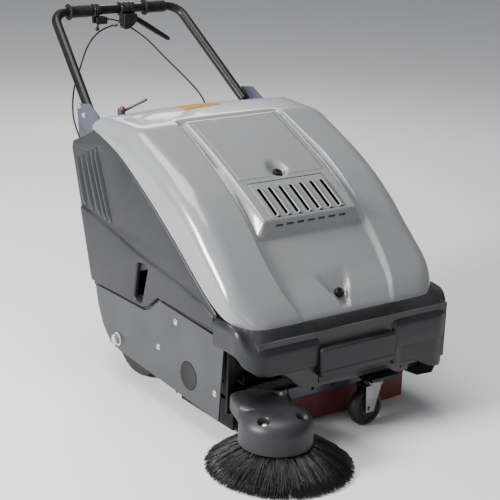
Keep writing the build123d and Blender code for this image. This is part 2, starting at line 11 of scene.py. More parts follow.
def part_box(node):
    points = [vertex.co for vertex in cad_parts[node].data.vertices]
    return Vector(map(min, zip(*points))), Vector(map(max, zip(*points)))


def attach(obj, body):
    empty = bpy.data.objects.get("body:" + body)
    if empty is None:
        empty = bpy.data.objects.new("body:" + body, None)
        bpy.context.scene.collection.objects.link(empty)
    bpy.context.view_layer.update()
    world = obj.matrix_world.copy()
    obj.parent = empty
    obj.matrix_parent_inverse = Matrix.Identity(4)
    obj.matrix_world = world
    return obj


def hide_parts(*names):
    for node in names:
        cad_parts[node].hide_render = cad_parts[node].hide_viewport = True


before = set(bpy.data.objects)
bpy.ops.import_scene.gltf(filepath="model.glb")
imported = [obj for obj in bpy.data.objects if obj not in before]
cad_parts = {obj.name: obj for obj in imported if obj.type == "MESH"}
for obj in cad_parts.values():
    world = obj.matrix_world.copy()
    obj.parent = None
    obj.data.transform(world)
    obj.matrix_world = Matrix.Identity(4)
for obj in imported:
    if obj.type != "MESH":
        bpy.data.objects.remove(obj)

bl_info = {
    "name": "Walk-behind sweeper",
    "version": (1, 0, 0),
    "blender": (4, 5, 0),
    "location": "3D View > Sidebar > Sweeper",
    "description": "Builds the finished shells, brushes, controls and materials of a walk-behind sweeper",
    "category": "Object",
}

# ---- places taken from the frame ----------------------------------------------------------
# Lengths below are millimetres in the machine's own axes: x = 0 is its middle plane, the rear axle
# stands at y = AXLE_Y, the floor is z = 0 and the front faces -Y.  at() turns them into metres.
MM = 0.001
AXLE_Y = 170


def middle(node):
    """The middle of a node's box, in metres in the frame."""
    low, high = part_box(node)
    return (low + high) / 2


DATUM = Vector((middle("hood_shell").x, middle("rear_axle").y - AXLE_Y * MM, 0))
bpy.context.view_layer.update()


def at(x, y, z):
    """A place in millimetres on the machine, as a point in metres in the frame."""
    return DATUM + Vector((x, y, z)) * MM


# ---- numbers and curves -------------------------------------------------------------------
def smooth(low, high, value):
    """0 below low, 1 above high, an S-curve between."""
    t = np.clip((np.asarray(value, float) - low) / (high - low), 0, 1)
    return t * t * (3 - 2 * t)


def filleted(corners, radii, steps=8, closed=False):
    """A chain of straight runs whose corners are tangent arcs, as a list of 2-D points."""
    points = [Vector(corner) for corner in corners]
    count = len(points)
    made = [] if closed else [points[0]]
    turns = range(count) if closed else range(1, count - 1)
    for place, index in enumerate(turns):
        before, corner, after = points[index - 1], points[index], points[(index + 1) % count]
        into, out = (before - corner).normalized(), (after - corner).normalized()
        opening = into.angle(out)
        radius = radii[place] if hasattr(radii, "__len__") else radii
        if radius <= 0 or opening > math.pi - 1e-3:
            made.append(corner)
            continue
        reach = radius / math.tan(opening / 2)
        centre = corner + (into + out).normalized() * radius / math.sin(opening / 2)
        start, end = corner + into * reach - centre, corner + out * reach - centre
        sweep = start.angle(end)
        for step in range(steps + 1):
            t = step / steps
            blend = start * math.sin((1 - t) * sweep) + end * math.sin(t * sweep)
            made.append(centre + blend / math.sin(sweep))
    return made if closed else made + [points[-1]]


def along(chain, value):
    """Reads the second number of a chain of points at a first number, in either order."""
    xs = np.array([point[0] for point in chain], float)
    ys = np.array([point[1] for point in chain], float)
    if xs[0] > xs[-1]:
        xs, ys = xs[::-1], ys[::-1]
    return np.interp(value, xs, ys)


# ---- making pieces ------------------------------------------------------------------------
def piece(name, verts, faces, body, material, replaces=(), slot=None, sharp=35):
    """A mesh object from points in machine millimetres, riding on a body."""
    mesh = bpy.data.meshes.new(name)
    mesh.from_pydata([at(*vert) for vert in verts], [], faces)
    mesh.update()
    return dress(name, mesh, body, material, replaces, slot, sharp)


def dress(name, mesh, body, material, replaces=(), slot=None, sharp=35):
    """Links a finished mesh as a piece: material, smooth shading, body and what it stands for; slot is not
    used.
    """
    tidy = bmesh.new()
    tidy.from_mesh(mesh)
    bmesh.ops.remove_doubles(tidy, verts=tidy.verts, dist=1e-6)
    bmesh.ops.recalc_face_normals(tidy, faces=tidy.faces)
    tidy.to_mesh(mesh)
    tidy.free()
    thing = bpy.data.objects.new(name, mesh)
    bpy.context.scene.collection.objects.link(thing)
    mesh.materials.clear()
    mesh.materials.append(material)
    if sharp:
        mesh.shade_smooth()
        mesh.set_sharp_from_angle(angle=math.radians(sharp))
    if replaces:
        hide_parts(*replaces)
    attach(thing, body)
    return thing


def grid_faces(rows, columns, wrap=False, skip=lambda row, column: False):
    """Quads of a grid of points numbered row by row."""
    last = columns if wrap else columns - 1
    return [
        (r * columns + c, r * columns + (c + 1) % columns,
         (r + 1) * columns + (c + 1) % columns, (r + 1) * columns + c)
        for r in range(rows - 1) for c in range(last) if not skip(r, c)
    ]


def modify(thing, kind, **values):
    """Adds a modifier and applies it."""
    modifier = thing.modifiers.new(kind.lower(), kind)
    for name, value in values.items():
        setattr(modifier, name, value)
    depsgraph = bpy.context.evaluated_depsgraph_get()
    mesh = bpy.data.meshes.new_from_object(thing.evaluated_get(depsgraph))
    thing.modifiers.clear()
    old, thing.data = thing.data, mesh
    mesh.name = old.name
    bpy.data.meshes.remove(old)
    return thing


def smoothed(thing, sharp=35):
    """Smooth shading, with edges sharper than the angle kept crisp."""
    thing.data.shade_smooth()
    thing.data.set_sharp_from_angle(angle=math.radians(sharp))
    return thing


class Solid:
    """Gathers simple solids in machine millimetres into one mesh."""

    def __init__(self):
        self.verts, self.faces = [], []

    def add(self, verts, faces):
        base = len(self.verts)
        self.verts += [tuple(vert) for vert in verts]
        self.faces += [tuple(index + base for index in face) for face in faces]
        return self

    def loft(self, rings, capped=True, wrap=True):
        """Skins a list of rings with equal counts of points."""
        count = len(rings[0])
        faces = grid_faces(len(rings), count, wrap)
        if capped:
            faces += [tuple(range(count))[::-1], tuple(range((len(rings) - 1) * count, len(rings) * count))]
        return self.add([point for ring in rings for point in ring], faces)

    def turned(self, profile, centre, axis, segments=32):
        """A solid of revolution: profile is (distance along the axis, radius) pairs."""
        direction = Vector(axis).normalized()
        side = direction.orthogonal().normalized()
        other = direction.cross(side)
        rings = []
        for distance, radius in profile:
            heart = Vector(centre) + direction * distance
            rings.append([
                heart + (side * math.cos(a) + other * math.sin(a)) * max(radius, 0.01)
                for a in (2 * math.pi * i / segments for i in range(segments))
            ])
        return self.loft(rings)

    def tube(self, points, radii, segments=12, squash=(1, 1), up=(0, 0, 1)):
        """A round or oval bar through a list of points."""
        path = [Vector(point) for point in points]
        rings = []
        for i, point in enumerate(path):
            ahead = path[min(i + 1, len(path) - 1)] - path[max(i - 1, 0)]
            side = ahead.cross(Vector(up)).normalized()
            top = side.cross(ahead).normalized()
            radius = radii[i] if hasattr(radii, "__len__") else radii
            rings.append([
                point + side * math.cos(a) * radius * squash[0] + top * math.sin(a) * radius * squash[1]
                for a in (2 * math.pi * j / segments for j in range(segments))
            ])
        return self.loft(rings)

    def slab(self, outline, low, high, bevel=1.5):
        """A level plate with a small chamfer round both faces; outline is its plan."""
        points = [Vector(point) for point in outline]
        heart = sum(points, Vector((0, 0))) / len(points)
        size = max((point - heart).length for point in points)
        inner = [heart + (point - heart) * (1 - bevel / size) for point in points]
        levels = [(inner, low), (points, low + bevel), (points, high - bevel), (inner, high)]
        return self.loft([[(point[0], point[1], height) for point in ring] for ring, height in levels])

    def make(self, name, body, material, **options):
        return piece(name, self.verts, self.faces, body, material, **options)


def rounded_box(x, y, radius, steps=5):
    """A rectangle with round corners, as a closed 2-D outline."""
    corners = [(x[0], y[0]), (x[1], y[0]), (x[1], y[1]), (x[0], y[1])]
    return filleted(corners, radius, steps, closed=True)


def plate(outline, thickness, bevel, holes=(), rounds=3):
    """A flat plate with rounded edges and real holes; the mesh lies in its own XY plane, in millimetres."""
    curve = bpy.data.curves.new("plate_outline", "CURVE")
    curve.dimensions = "2D"
    curve.fill_mode = "BOTH"
    curve.extrude = max(thickness / 2 - bevel, 0.01)
    curve.bevel_depth = bevel
    curve.bevel_resolution = rounds
    curve.offset = -bevel
    for loop in (outline, *holes):
        spline = curve.splines.new("POLY")
        spline.points.add(len(loop) - 1)
        for point, (x, y) in zip(spline.points, loop):
            point.co = (x, y, 0, 1)
        spline.use_cyclic_u = True
    holder = bpy.data.objects.new("plate_outline", curve)
    bpy.context.scene.collection.objects.link(holder)
    bpy.context.view_layer.update()
    mesh = bpy.data.meshes.new_from_object(holder.evaluated_get(bpy.context.evaluated_depsgraph_get()))
    bpy.data.objects.remove(holder)
    bpy.data.curves.remove(curve)
    return mesh


def placed(name, meshes, body, material, **options):
    """Joins (mesh, matrix) pairs, given in machine millimetres, into one piece."""
    joined = bmesh.new()
    for mesh, matrix in meshes:
        part = bmesh.new()
        part.from_mesh(mesh)
        bmesh.ops.transform(part, matrix=matrix, verts=part.verts)
        part.to_mesh(mesh)
        part.free()
        joined.from_mesh(mesh)
        bpy.data.meshes.remove(mesh)
    bmesh.ops.transform(joined, matrix=Matrix.Translation(DATUM) @ Matrix.Scale(MM, 4), verts=joined.verts)
    whole = bpy.data.meshes.new(name)
    joined.to_mesh(whole)
    joined.free()
    return dress(name, whole, body, material, **options)


def standing(x):
    """Stands a plate drawn in (y, z) upright across the machine, its middle at x."""
    return Matrix(((0, 0, 1, x), (1, 0, 0, 0), (0, 1, 0, 0), (0, 0, 0, 1)))


def facing(y):
    """Stands a plate drawn in (x, z) facing the front, its middle at y."""
    return Matrix(((1, 0, 0, 0), (0, 0, 1, y), (0, 1, 0, 0), (0, 0, 0, 1)))


def lying(z):
    """Lays a plate drawn in (x, y) level, its middle at z."""
    return Matrix.Translation((0, 0, z))


# ---- finishes -----------------------------------------------------------------------------
def add_node(tree, kind, inputs=(), **settings):
    """Adds a shader node; an input is a plain value or the socket that feeds it."""
    made = tree.nodes.new(kind)
    for name, value in settings.items():
        setattr(made, name, value)
    for socket, value in dict(inputs).items():
        if isinstance(value, bpy.types.NodeSocket):
            tree.links.new(value, made.inputs[socket])
        else:
            made.inputs[socket].default_value = value
    return made


def mottle_group():
    """Shared effect: two colours mixed by noise, dust on upward faces, uneven roughness and a fine grain."""
    name = "Mottled finish"
    if name in bpy.data.node_groups:
        return bpy.data.node_groups[name]
    tree = bpy.data.node_groups.new(name, "ShaderNodeTree")
    sockets = [
        ("Base", "NodeSocketColor", (0.5, 0.5, 0.5, 1)), ("Worn", "NodeSocketColor", (0.4, 0.4, 0.4, 1)),
        ("Dust", "NodeSocketColor", (0.45, 0.42, 0.38, 1)), ("Dust amount", "NodeSocketFloat", 0.1),
        ("Scale", "NodeSocketFloat", 6.0), ("Grain", "NodeSocketFloat", 900.0),
        ("Roughness", "NodeSocketFloat", 0.4), ("Spread", "NodeSocketFloat", 0.15),
        ("Bump", "NodeSocketFloat", 0.1),
    ]
    for label, kind, value in sockets:
        tree.interface.new_socket(name=label, in_out="INPUT", socket_type=kind).default_value = value
    for label, kind in (("Colour", "NodeSocketColor"), ("Roughness", "NodeSocketFloat"),
                        ("Normal", "NodeSocketVector")):
        tree.interface.new_socket(name=label, in_out="OUTPUT", socket_type=kind)
    given = add_node(tree, "NodeGroupInput").outputs
    place = add_node(tree, "ShaderNodeTexCoord").outputs["Object"]
    cloud = add_node(tree, "ShaderNodeTexNoise", {"Vector": place, "Scale": given["Scale"], "Detail": 5.0})
    grain = add_node(tree, "ShaderNodeTexNoise", {"Vector": place, "Scale": given["Grain"], "Detail": 2.0})
    spread = add_node(tree, "ShaderNodeMapRange", {"Value": cloud.outputs["Fac"], "From Min": 0.35,
                                                  "From Max": 0.65})
    worn = add_node(tree, "ShaderNodeMix", {"Factor": spread.outputs[0], "A": (0, 0, 0, 1)},
                    data_type="RGBA")
    tree.links.new(given["Base"], worn.inputs[6])
    tree.links.new(given["Worn"], worn.inputs[7])
    facing_up = add_node(tree, "ShaderNodeSeparateXYZ",
                         {"Vector": add_node(tree, "ShaderNodeNewGeometry").outputs["Normal"]})
    lie = add_node(tree, "ShaderNodeMapRange", {"Value": facing_up.outputs["Z"], "From Min": 0.2,
                                               "From Max": 1.0})
    patch = add_node(tree, "ShaderNodeMath", {0: lie.outputs[0], 1: spread.outputs[0]},
                     operation="MULTIPLY")
    dust = add_node(tree, "ShaderNodeMath", {0: patch.outputs[0], 1: given["Dust amount"]},
                    operation="MULTIPLY")
    dusty = add_node(tree, "ShaderNodeMix", {"Factor": dust.outputs[0]}, data_type="RGBA")
    tree.links.new(worn.outputs[2], dusty.inputs[6])
    tree.links.new(given["Dust"], dusty.inputs[7])
    offset = add_node(tree, "ShaderNodeMath", {0: cloud.outputs["Fac"], 1: 0.5}, operation="SUBTRACT")
    rough = add_node(tree, "ShaderNodeMath",
                     {0: offset.outputs[0], 1: given["Spread"], 2: given["Roughness"]},
                     operation="MULTIPLY_ADD")
    bump = add_node(tree, "ShaderNodeBump",
                    {"Height": grain.outputs["Fac"], "Strength": given["Bump"], "Distance": 0.0006})
    out = add_node(tree, "NodeGroupOutput")
    tree.links.new(dusty.outputs[2], out.inputs["Colour"])
    tree.links.new(rough.outputs[0], out.inputs["Roughness"])
    tree.links.new(bump.outputs[0], out.inputs["Normal"])
    return tree


def finish(name, base, worn, roughness, metallic=0.0, coat=0.0, scale=6.0, grain=900.0, bump=0.1,
           dust=0.1, spread=0.15, sheen=0.5):
    """A material: the shared mottling feeds one Principled shader."""
    if name in bpy.data.materials:
        return bpy.data.materials[name]
    material = bpy.data.materials.new(name)
    material.use_nodes = True
    tree = material.node_tree
    shader = tree.nodes["Principled BSDF"]
    group = add_node(tree, "ShaderNodeGroup", node_tree=mottle_group())
    values = {"Base": (*base, 1), "Worn": (*worn, 1), "Dust amount": dust, "Scale": scale,
              "Grain": grain, "Roughness": roughness, "Spread": spread, "Bump": bump}
    for socket, value in values.items():
        group.inputs[socket].default_value = value
    tree.links.new(group.outputs["Colour"], shader.inputs["Base Color"])
    tree.links.new(group.outputs["Roughness"], shader.inputs["Roughness"])
    tree.links.new(group.outputs["Normal"], shader.inputs["Normal"])
    shader.inputs["Metallic"].default_value = metallic
    shader.inputs["Specular IOR Level"].default_value = sheen
    shader.inputs["Coat Weight"].default_value = coat
    shader.inputs["Coat Roughness"].default_value = 0.06
    return material


def finishes():
    """Every finish of the machine, by short name; the louvre, tub and shadowed-inside finishes carry painted
    light or shade.
    """
    tint = bpy.context.scene.sweeper_look
    hood, dark = tuple(tint.hood_colour), tuple(tint.cover_colour)
    shade = tuple(value * 0.88 for value in hood)
    dark_worn = tuple(value * 1.45 for value in dark)
    return {
        "hood": finish("Hood plastic", hood, shade, 0.27, coat=0.7, scale=9, grain=170, bump=0.22,
                       dust=0.12, spread=0.12),
        "plastic": finish("Dark plastic", dark, dark_worn, 0.44, scale=7, grain=1400, bump=0.12, dust=0.04,
                          sheen=0.4),
        "steel": finish("Dark painted steel", (0.022, 0.023, 0.026), (0.034, 0.035, 0.039), 0.4,
                        coat=0.05, scale=8, grain=500, bump=0.05, dust=0.04),
        "black": finish("Black plastic", (0.004, 0.004, 0.0045), (0.009, 0.009, 0.010), 0.42, scale=20,
                        grain=1600, bump=0.1, dust=0.01, sheen=0.25),
        "handle": finish("Handle paint", (0.004, 0.004, 0.004), (0.007, 0.007, 0.007), 0.34, coat=0.05,
                         scale=14, grain=600, bump=0.05, dust=0.01, sheen=0.25),
        "bracket": finish("Bracket paint", (0.040, 0.045, 0.072), (0.055, 0.060, 0.088), 0.33, coat=0.2,
                          scale=16, grain=600, bump=0.06, dust=0.08),
        "clamp": finish("Clamp paint", (0.006, 0.006, 0.007), (0.014, 0.014, 0.015), 0.36, scale=30,
                        grain=900, bump=0.15, dust=0.01, sheen=0.35),
        "zinc": finish("Zinc steel", (0.24, 0.245, 0.25), (0.15, 0.153, 0.16), 0.34, metallic=1.0, scale=26,
                       grain=700, bump=0.08, dust=0.08),
        "screw": finish("Bright screw", (0.78, 0.78, 0.78), (0.60, 0.60, 0.61), 0.2, metallic=1.0,
                        scale=60, grain=1200, bump=0.04, dust=0.02),
        "aluminium": finish("Pulley aluminium", (0.62, 0.63, 0.64), (0.5, 0.5, 0.52), 0.3, metallic=1.0,
                            scale=30, grain=900, bump=0.06, dust=0.02),
        "bristle": finish("Bristle", (0.004, 0.004, 0.004), (0.016, 0.016, 0.016), 0.42, scale=160,
                          grain=2200, bump=0.1, dust=0.02, sheen=0.4),
        "rubber": finish("Rubber", (0.005, 0.005, 0.005), (0.011, 0.011, 0.011), 0.55, scale=18,
                         grain=900, bump=0.2, dust=0.02, sheen=0.25),
        "tyre": finish("Tyre rubber", (0.010, 0.010, 0.010), (0.020, 0.020, 0.020), 0.5, scale=16,
                       grain=700, bump=0.22, dust=0.08, sheen=0.3),
        "flap": finish("Flap rubber", (0.12, 0.008, 0.007), (0.07, 0.006, 0.005), 0.5, scale=18,
                       grain=600, bump=0.15, dust=0.14),
        "label": finish("Label", (0.40, 0.19, 0.0015), (0.33, 0.155, 0.0015), 0.6, scale=30, grain=400,
                        bump=0.05, dust=0.02, sheen=0.15),
        "red": finish("Red button", (0.45, 0.02, 0.018), (0.33, 0.015, 0.014), 0.3, coat=0.3, scale=60,
                      grain=900, bump=0.05, dust=0.04),
        "dark": finish("Shadowed inside", (0.006, 0.006, 0.006), (0.011, 0.011, 0.011), 0.7, scale=20,
                       grain=800, bump=0.1, dust=0.0),
        "bumper": finish("Bumper plastic", tuple(value * 0.85 for value in dark), dark_worn, 0.4, scale=7,
                         grain=1100, bump=0.1, dust=0.03, sheen=0.4),
        # Painted highlight: the louvre blades take the cover plastic about three times lighter, standing in
        # for light caught on their edges.
        "louvre_highlight": finish("Louvre plastic with painted highlight", tuple(value * 3.2 for value in dark),
                         tuple(value * 2.4 for value in dark), 0.4, scale=7, grain=1200, bump=0.1, dust=0.03),
        # The hopper tub's own grey plastic, darkened to near black as painted shade for the shadow under the
        # bumper.
        "shaded_tub": finish("Tub grey darkened as painted shade", (0.020, 0.021, 0.022), (0.034, 0.035, 0.036), 0.42, scale=10,
                       grain=900, bump=0.1, dust=0.1),
    }


# ---- the hood's surface -------------------------------------------------------------------
HALF = 326                     # half width of the hood over its walls
REAR, NOSE = 322, -408         # rear wall and nose
CORNER = 90                    # plan radius of the two front corners
TOP_LINE = [(322, 716), (250, 717.5), (135, 716.5), (44, 680), (-49, 640), (-131, 594), (-199, 544),
            (-258, 490), (-314, 436), (-367, 383), (-408, 338)]
HOOD_EDGE = [(323, 678), (174, 634), (21, 549), (-77, 487), (-172, 421), (-242, 371), (-274, 350),
             (-332, 332), (-396, 318), (-408, 314)]
EDGE_ROUND = [(322, 30), (187, 48), (-250, 52), (-408, 24)]
DISH_EDGE = [(150, 176), (135, 177), (44, 178), (-49, 185), (-131, 186), (-199, 186), (-258, 187),
             (-314, 185), (-367, 176), (-412, 152)]
DISH_DEPTH = [(160, 0), (150, 6), (140, 13), (100, 16), (0, 18), (-330, 17), (-395, 8), (-408, 5)]
DISH_WALL = 17                 # plan width of the step down into the sunk middle
SHELF_X, SHELF_FRONT, SHELF_REAR = 146, -236, 130     # the raised flat that carries lid and grille
SHELF_SLOPE = (26, 8, 12)      # plan width of its slopes: sides, front, rear
SHELF_LEVEL, SHELF_TILT = 649.7, 0.487      # its height at y = 0 and its rise towards the rear
SHELF_CROWN, CROWN_Y, CROWN_REACH = 10, -50, 185
CROSS_CURVE = 0.9e-4           # how fast the hood falls to both sides
RECESS_Y, RECESS_HALF_X, RECESS_REAR, RECESS_FRONT = -86, 34, 38, 27    # the hollow round the lid's screw
RECESS_DEPTH, SCOOP_DEPTH = 15, 15
LID_SCREW_Y, KNOB_Y = -87, -366
LID_X, LID_Y = 138, (-108, 128)
GRILLE_X, GRILLE_Y = 122, (-232, -120)
SLOT_PITCH, SLOT_WIDTH = 34, 9
SLOT_Y = (-227, -141)
SHELL = 3                      # wall thickness


def eased(chain, value, span=18):
    """along(), with its corners eased by averaging over a span."""
    return sum(along(chain, value + span * k / 4) for k in range(-4, 5)) / 9


def hood_edge(y):
    """Height of the hood's lower edge, a smooth line along the side."""
    return eased(HOOD_EDGE, y, 46)


def rim_distance(x, y):
    """How far a plan point lies inside the hood's outline."""
    x, y = np.abs(x), np.asarray(y, float)
    inside = np.minimum(HALF - x, np.minimum(y - NOSE, REAR - y))
    over_x, over_y = x - (HALF - CORNER), (NOSE + CORNER) - y
    corner = CORNER - np.hypot(np.maximum(over_x, 0), np.maximum(over_y, 0))
    return np.maximum(np.where((over_x > 0) & (over_y > 0), np.minimum(corner, inside), inside), 0)


def box_inside(x, y, half_x, low_y, high_y, radius):
    """How far a plan point lies inside a round-cornered rectangle, negative outside."""
    middle_y, half_y = (low_y + high_y) / 2, (high_y - low_y) / 2
    px, py = np.abs(x) - half_x + radius, np.abs(y - middle_y) - half_y + radius
    outside = np.hypot(np.maximum(px, 0), np.maximum(py, 0))
    return radius - outside - np.minimum(np.maximum(px, py), 0)


def hood_top(x, y):
    """Height of the hood's outer surface over a plan point."""
    x, y = np.asarray(x, float), np.asarray(y, float)
    height = eased(TOP_LINE, y) - CROSS_CURVE * x ** 2
    radius = along(EDGE_ROUND, y)
    gap = np.clip(radius - rim_distance(x, y), 0, radius)
    height = height - (radius - np.sqrt(np.maximum(radius ** 2 - gap ** 2, 0)))
    whole = height
    height = height - smooth(0, DISH_WALL, eased(DISH_EDGE, y) - np.abs(x)) * eased(DISH_DEPTH, y, 5)
    slopes = [(SHELF_X - np.abs(x)) / SHELF_SLOPE[0], (y - SHELF_FRONT) / SHELF_SLOPE[1],
              (SHELF_REAR - y) / SHELF_SLOPE[2]]
    outside = np.sqrt(sum(np.maximum(-slope, 0) ** 2 for slope in slopes))
    raised = 1 - smooth(0, 1, outside)
    crown = SHELF_CROWN * np.clip(1 - ((y - CROWN_Y) / CROWN_REACH) ** 2, 0, 1)
    flat = SHELF_LEVEL + SHELF_TILT * y + crown
    lifted = np.where(y > 60, np.maximum(flat, whole - 1), flat)
    height = height * (1 - raised) + lifted * raised
    recess = np.hypot(x / RECESS_HALF_X, (y - RECESS_Y) / np.where(y > RECESS_Y, RECESS_REAR, RECESS_FRONT))
    height = height - RECESS_DEPTH * (1 - smooth(0.35, 1, recess))
    wide = 18 + 42 * smooth(-396, -326, y)
    side = 1 - smooth(0.55, 1.0, np.abs(x) / wide)
    scoop = side * smooth(-404, -386, y) * (1 - smooth(-362, -322, y))
    return height - SCOOP_DEPTH * scoop


def hood_rows():
    """The plan rows of the hood: (y, half width), close together where the surface turns."""
    rear = [REAR - d for d in (0, 0.5, 1.8, 4, 7.5, 12, 18, 25, 33, 42)]
    turns = [SHELF_FRONT + d for d in (-9, -7.5, -6, -4.5, -3, -1.5, 0)] + [*LID_Y, *GRILLE_Y, *SLOT_Y]
    turns += [SHELF_REAR + d for d in (2, 5, 8, 11, 14, 17, 20, 23, 26)]
    main = list(np.arange(NOSE + CORNER, REAR - 45, 5.0)) + turns
    kept = []
    for y in sorted(main):
        if kept and y - kept[-1] < 1.4:
            if y in turns:
                kept[-1] = y
            continue
        kept.append(y)
    rows = [(y, HALF) for y in rear] + [(y, HALF) for y in reversed(kept)]
    for step in range(1, 29):
        angle = math.pi / 2 * step / 28
        rows.append((NOSE + CORNER - CORNER * math.sin(angle), HALF - CORNER + CORNER * math.cos(angle)))
    return rows


def hood_columns():
    """Gives a function that lists a row's plan x values from rim to rim, close together at the turns."""
    rim = [0, 0.5, 1.8, 4, 7.5, 12, 18, 25, 33, 43, 56]
    wall = [8, 5, 3, 1, -1, -3, -5, -7, -9, -11, -13, -15, -17, -19]
    fixed = [156, 153, 150, 148, 146, 144, 141, 138, 132, 122]
    slots = []
    for index in range(4):
        heart = index * SLOT_PITCH
        slots += [heart + d for d in (-15, -11, -8, -SLOT_WIDTH / 2, SLOT_WIDTH / 2, 8, 11, 15)]
    fixed += sorted({value for value in slots if 0 < value < GRILLE_X - 3}, reverse=True)
    between = 9

    def across(half, y):
        start = half - rim[-1]
        dish = min(float(eased(DISH_EDGE, y)), start - 10)
        share = min(1.0, (dish - 20) / fixed[0])
        inner = [dish + value for value in wall] + [value * share for value in fixed]
        spans = [start + (inner[0] - start) * step / between for step in range(1, between)]
        side = [half - d for d in rim] + spans + inner
        return side + [0.0] + [-value for value in reversed(side)]
    return across


def hood_grid():
    """The hood's outer surface as three grids: x, y and height."""
    rows, across = hood_rows(), hood_columns()
    xs = np.array([across(half, y) for y, half in rows])
    ys = np.array([[y] * xs.shape[1] for y, _ in rows])
    return xs, ys, hood_top(xs, ys)


def build_hood(f):
    """The hood's shell, open where the lid and the grille lie."""
    xs, ys, zs = hood_grid()
    rows, columns = xs.shape
    top = [(xs[r, c], ys[r, c], zs[r, c]) for r in range(rows) for c in range(columns)]

    def in_hatch(r, c):
        x = abs(xs[r, c] + xs[r, c + 1]) / 2
        y = (ys[r, 0] + ys[r + 1, 0]) / 2
        lid = x < LID_X and LID_Y[0] < y < LID_Y[1]
        return lid or (x < GRILLE_X and GRILLE_Y[0] < y < GRILLE_Y[1])

    shell = Solid().add(top, grid_faces(rows, columns, skip=in_hatch))
    levels = 7
    walls = []
    rim = [(xs[r, 0], ys[r, 0], zs[r, 0]) for r in range(rows)]
    rim += [(xs[-1, c], ys[-1, c], zs[-1, c]) for c in range(1, columns)]
    rim += [(xs[r, -1], ys[r, -1], zs[r, -1]) for r in range(rows - 2, -1, -1)]
    rim += [(xs[0, c], ys[0, c], zs[0, c]) for c in range(columns - 2, 0, -1)]
    for level in range(levels):
        t = level / (levels - 1)
        for x, y, z in rim:
            foot = float(hood_edge(y))
            walls.append((x, y, z + (min(foot, z) - z) * t))
    shell.add(walls, grid_faces(levels, len(rim), wrap=True))
    hood = shell.make("hood_body", "hood", f["hood"], replaces=["hood_shell"], slot="hood_plastic", sharp=48)
    modify(hood, "SOLIDIFY", thickness=SHELL * MM, offset=-1, use_even_offset=False)
    smoothed(hood, 48)


def hatch(name, x_limit, y_limits, body, material, replaces, edge=2.2, skip=None, lift=None):
    """A panel that lies in the hood's surface, with rounded edges and a clearance all round."""
    gap = 1.3
    inner = [0, 0.4, 1.1, 2.2]
    xs, ys, _ = hood_grid()
    columns = sorted({x for x in xs[0] if abs(x) < x_limit - gap - 3}
                     | {s * (x_limit - gap - d) for d in inner for s in (-1, 1)})
    low, high = y_limits[0] + gap, y_limits[1] - gap
    rows = sorted({y for y in ys[:, 0] if low + 3 < y < high - 3}
                  | {low + d for d in inner} | {high - d for d in inner})
    gx, gy = np.meshgrid(columns, rows)
    depth = box_inside(gx, gy, x_limit - gap, low, high, 0.01)
    drop = np.where(depth < edge, edge - np.sqrt(np.maximum(edge ** 2 - (edge - depth) ** 2, 0)), 0)
    gz = hood_top(gx, gy) - drop
    if lift is not None:
        gz = gz + lift(gx, gy)
    count = len(columns)
    verts = [(gx[r, c], gy[r, c], gz[r, c]) for r in range(len(rows)) for c in range(count)]
    left_out = skip or (lambda x, y: False)
    faces = grid_faces(len(rows), count, skip=lambda r, c: left_out(
        (columns[c] + columns[c + 1]) / 2, (rows[r] + rows[r + 1]) / 2))
    panel = piece(name, verts, faces, body, material, replaces=replaces, slot="hood_plastic", sharp=50)
    modify(panel, "SOLIDIFY", thickness=SHELL * MM, offset=-1, use_even_offset=False)
    smoothed(panel, 50)
    return panel


def slot_side(x):
    """Distance to the right of the nearest grille slot's middle, from -17 to 17."""
    nearest = np.clip(np.round(np.asarray(x) / SLOT_PITCH), -3, 3) * SLOT_PITCH
    return x - nearest


def build_lid(f):
    hatch("lid_plate", LID_X, LID_Y, "lid", f["hood"], ["hood_lid"])
    recess_z = float(hood_top(0, LID_SCREW_Y))
    screw = Solid().turned([(-6, 5), (0, 5), (0, 13.5), (4, 13.5), (6.5, 11), (7, 5.2), (4, 4.6), (4, 0)],
                           (0, LID_SCREW_Y, recess_z + 4), (0, -0.42, 0.9), 32)
    screw.make("lid_screw_head", "lid", f["black"], replaces=["lid_screw"], slot="black_plastic")


def build_grille(f):
    half = SLOT_WIDTH / 2

    def open_slot(x, y):
        return abs(float(slot_side(x))) < half and SLOT_Y[0] < y < SLOT_Y[1]

    def blade(x, y):
        side = slot_side(x)
        rise = np.where(side > half - 0.01, 1 - smooth(half, half + 9, side), 0)
        return 6 * rise * (1 - smooth(SLOT_Y[1] - 8, SLOT_Y[1] + 6, y))

    hatch("grille_blades", GRILLE_X, GRILLE_Y, "hood", f["hood"], ["grille_panel"], skip=open_slot,
          lift=blade)
    # Painted shade: a dark sheet under the slots, in the shadowed-inside finish, standing for the shadow
    # inside the hood.
    shade_tray = Solid()
    corners = [(x, y, float(hood_top(x, y)) - 14) for y in (GRILLE_Y[0] + 8, GRILLE_Y[1] - 4)
               for x in (-112, 112)]
    shade_tray.add(corners + [(x, y, z - 3) for x, y, z in corners],
             [(0, 1, 3, 2), (4, 6, 7, 5), (0, 4, 5, 1), (2, 3, 7, 6), (0, 2, 6, 4), (1, 5, 7, 3)])
    shade_tray.make("grille_shade_sheet", "hood", f["dark"], slot="black_plastic", sharp=0)
    # Painted shade: dark bars along the grille's front edge, one at each slot, standing for the shadow in its
    # mouth.
    mouth_shades = Solid()
    for index in range(-3, 4):
        x = index * SLOT_PITCH
        y = SHELF_FRONT - 3
        z = float(hood_top(x, y)) - 1
        mouth_shades.tube([(x - 11, y, z), (x - 9, y, z), (x + 9, y, z), (x + 11, y, z)], [1.4, 2.6, 2.6, 1.4], 12)
    mouth_shades.make("grille_mouth_shades", "hood", f["dark"], slot="black_plastic")


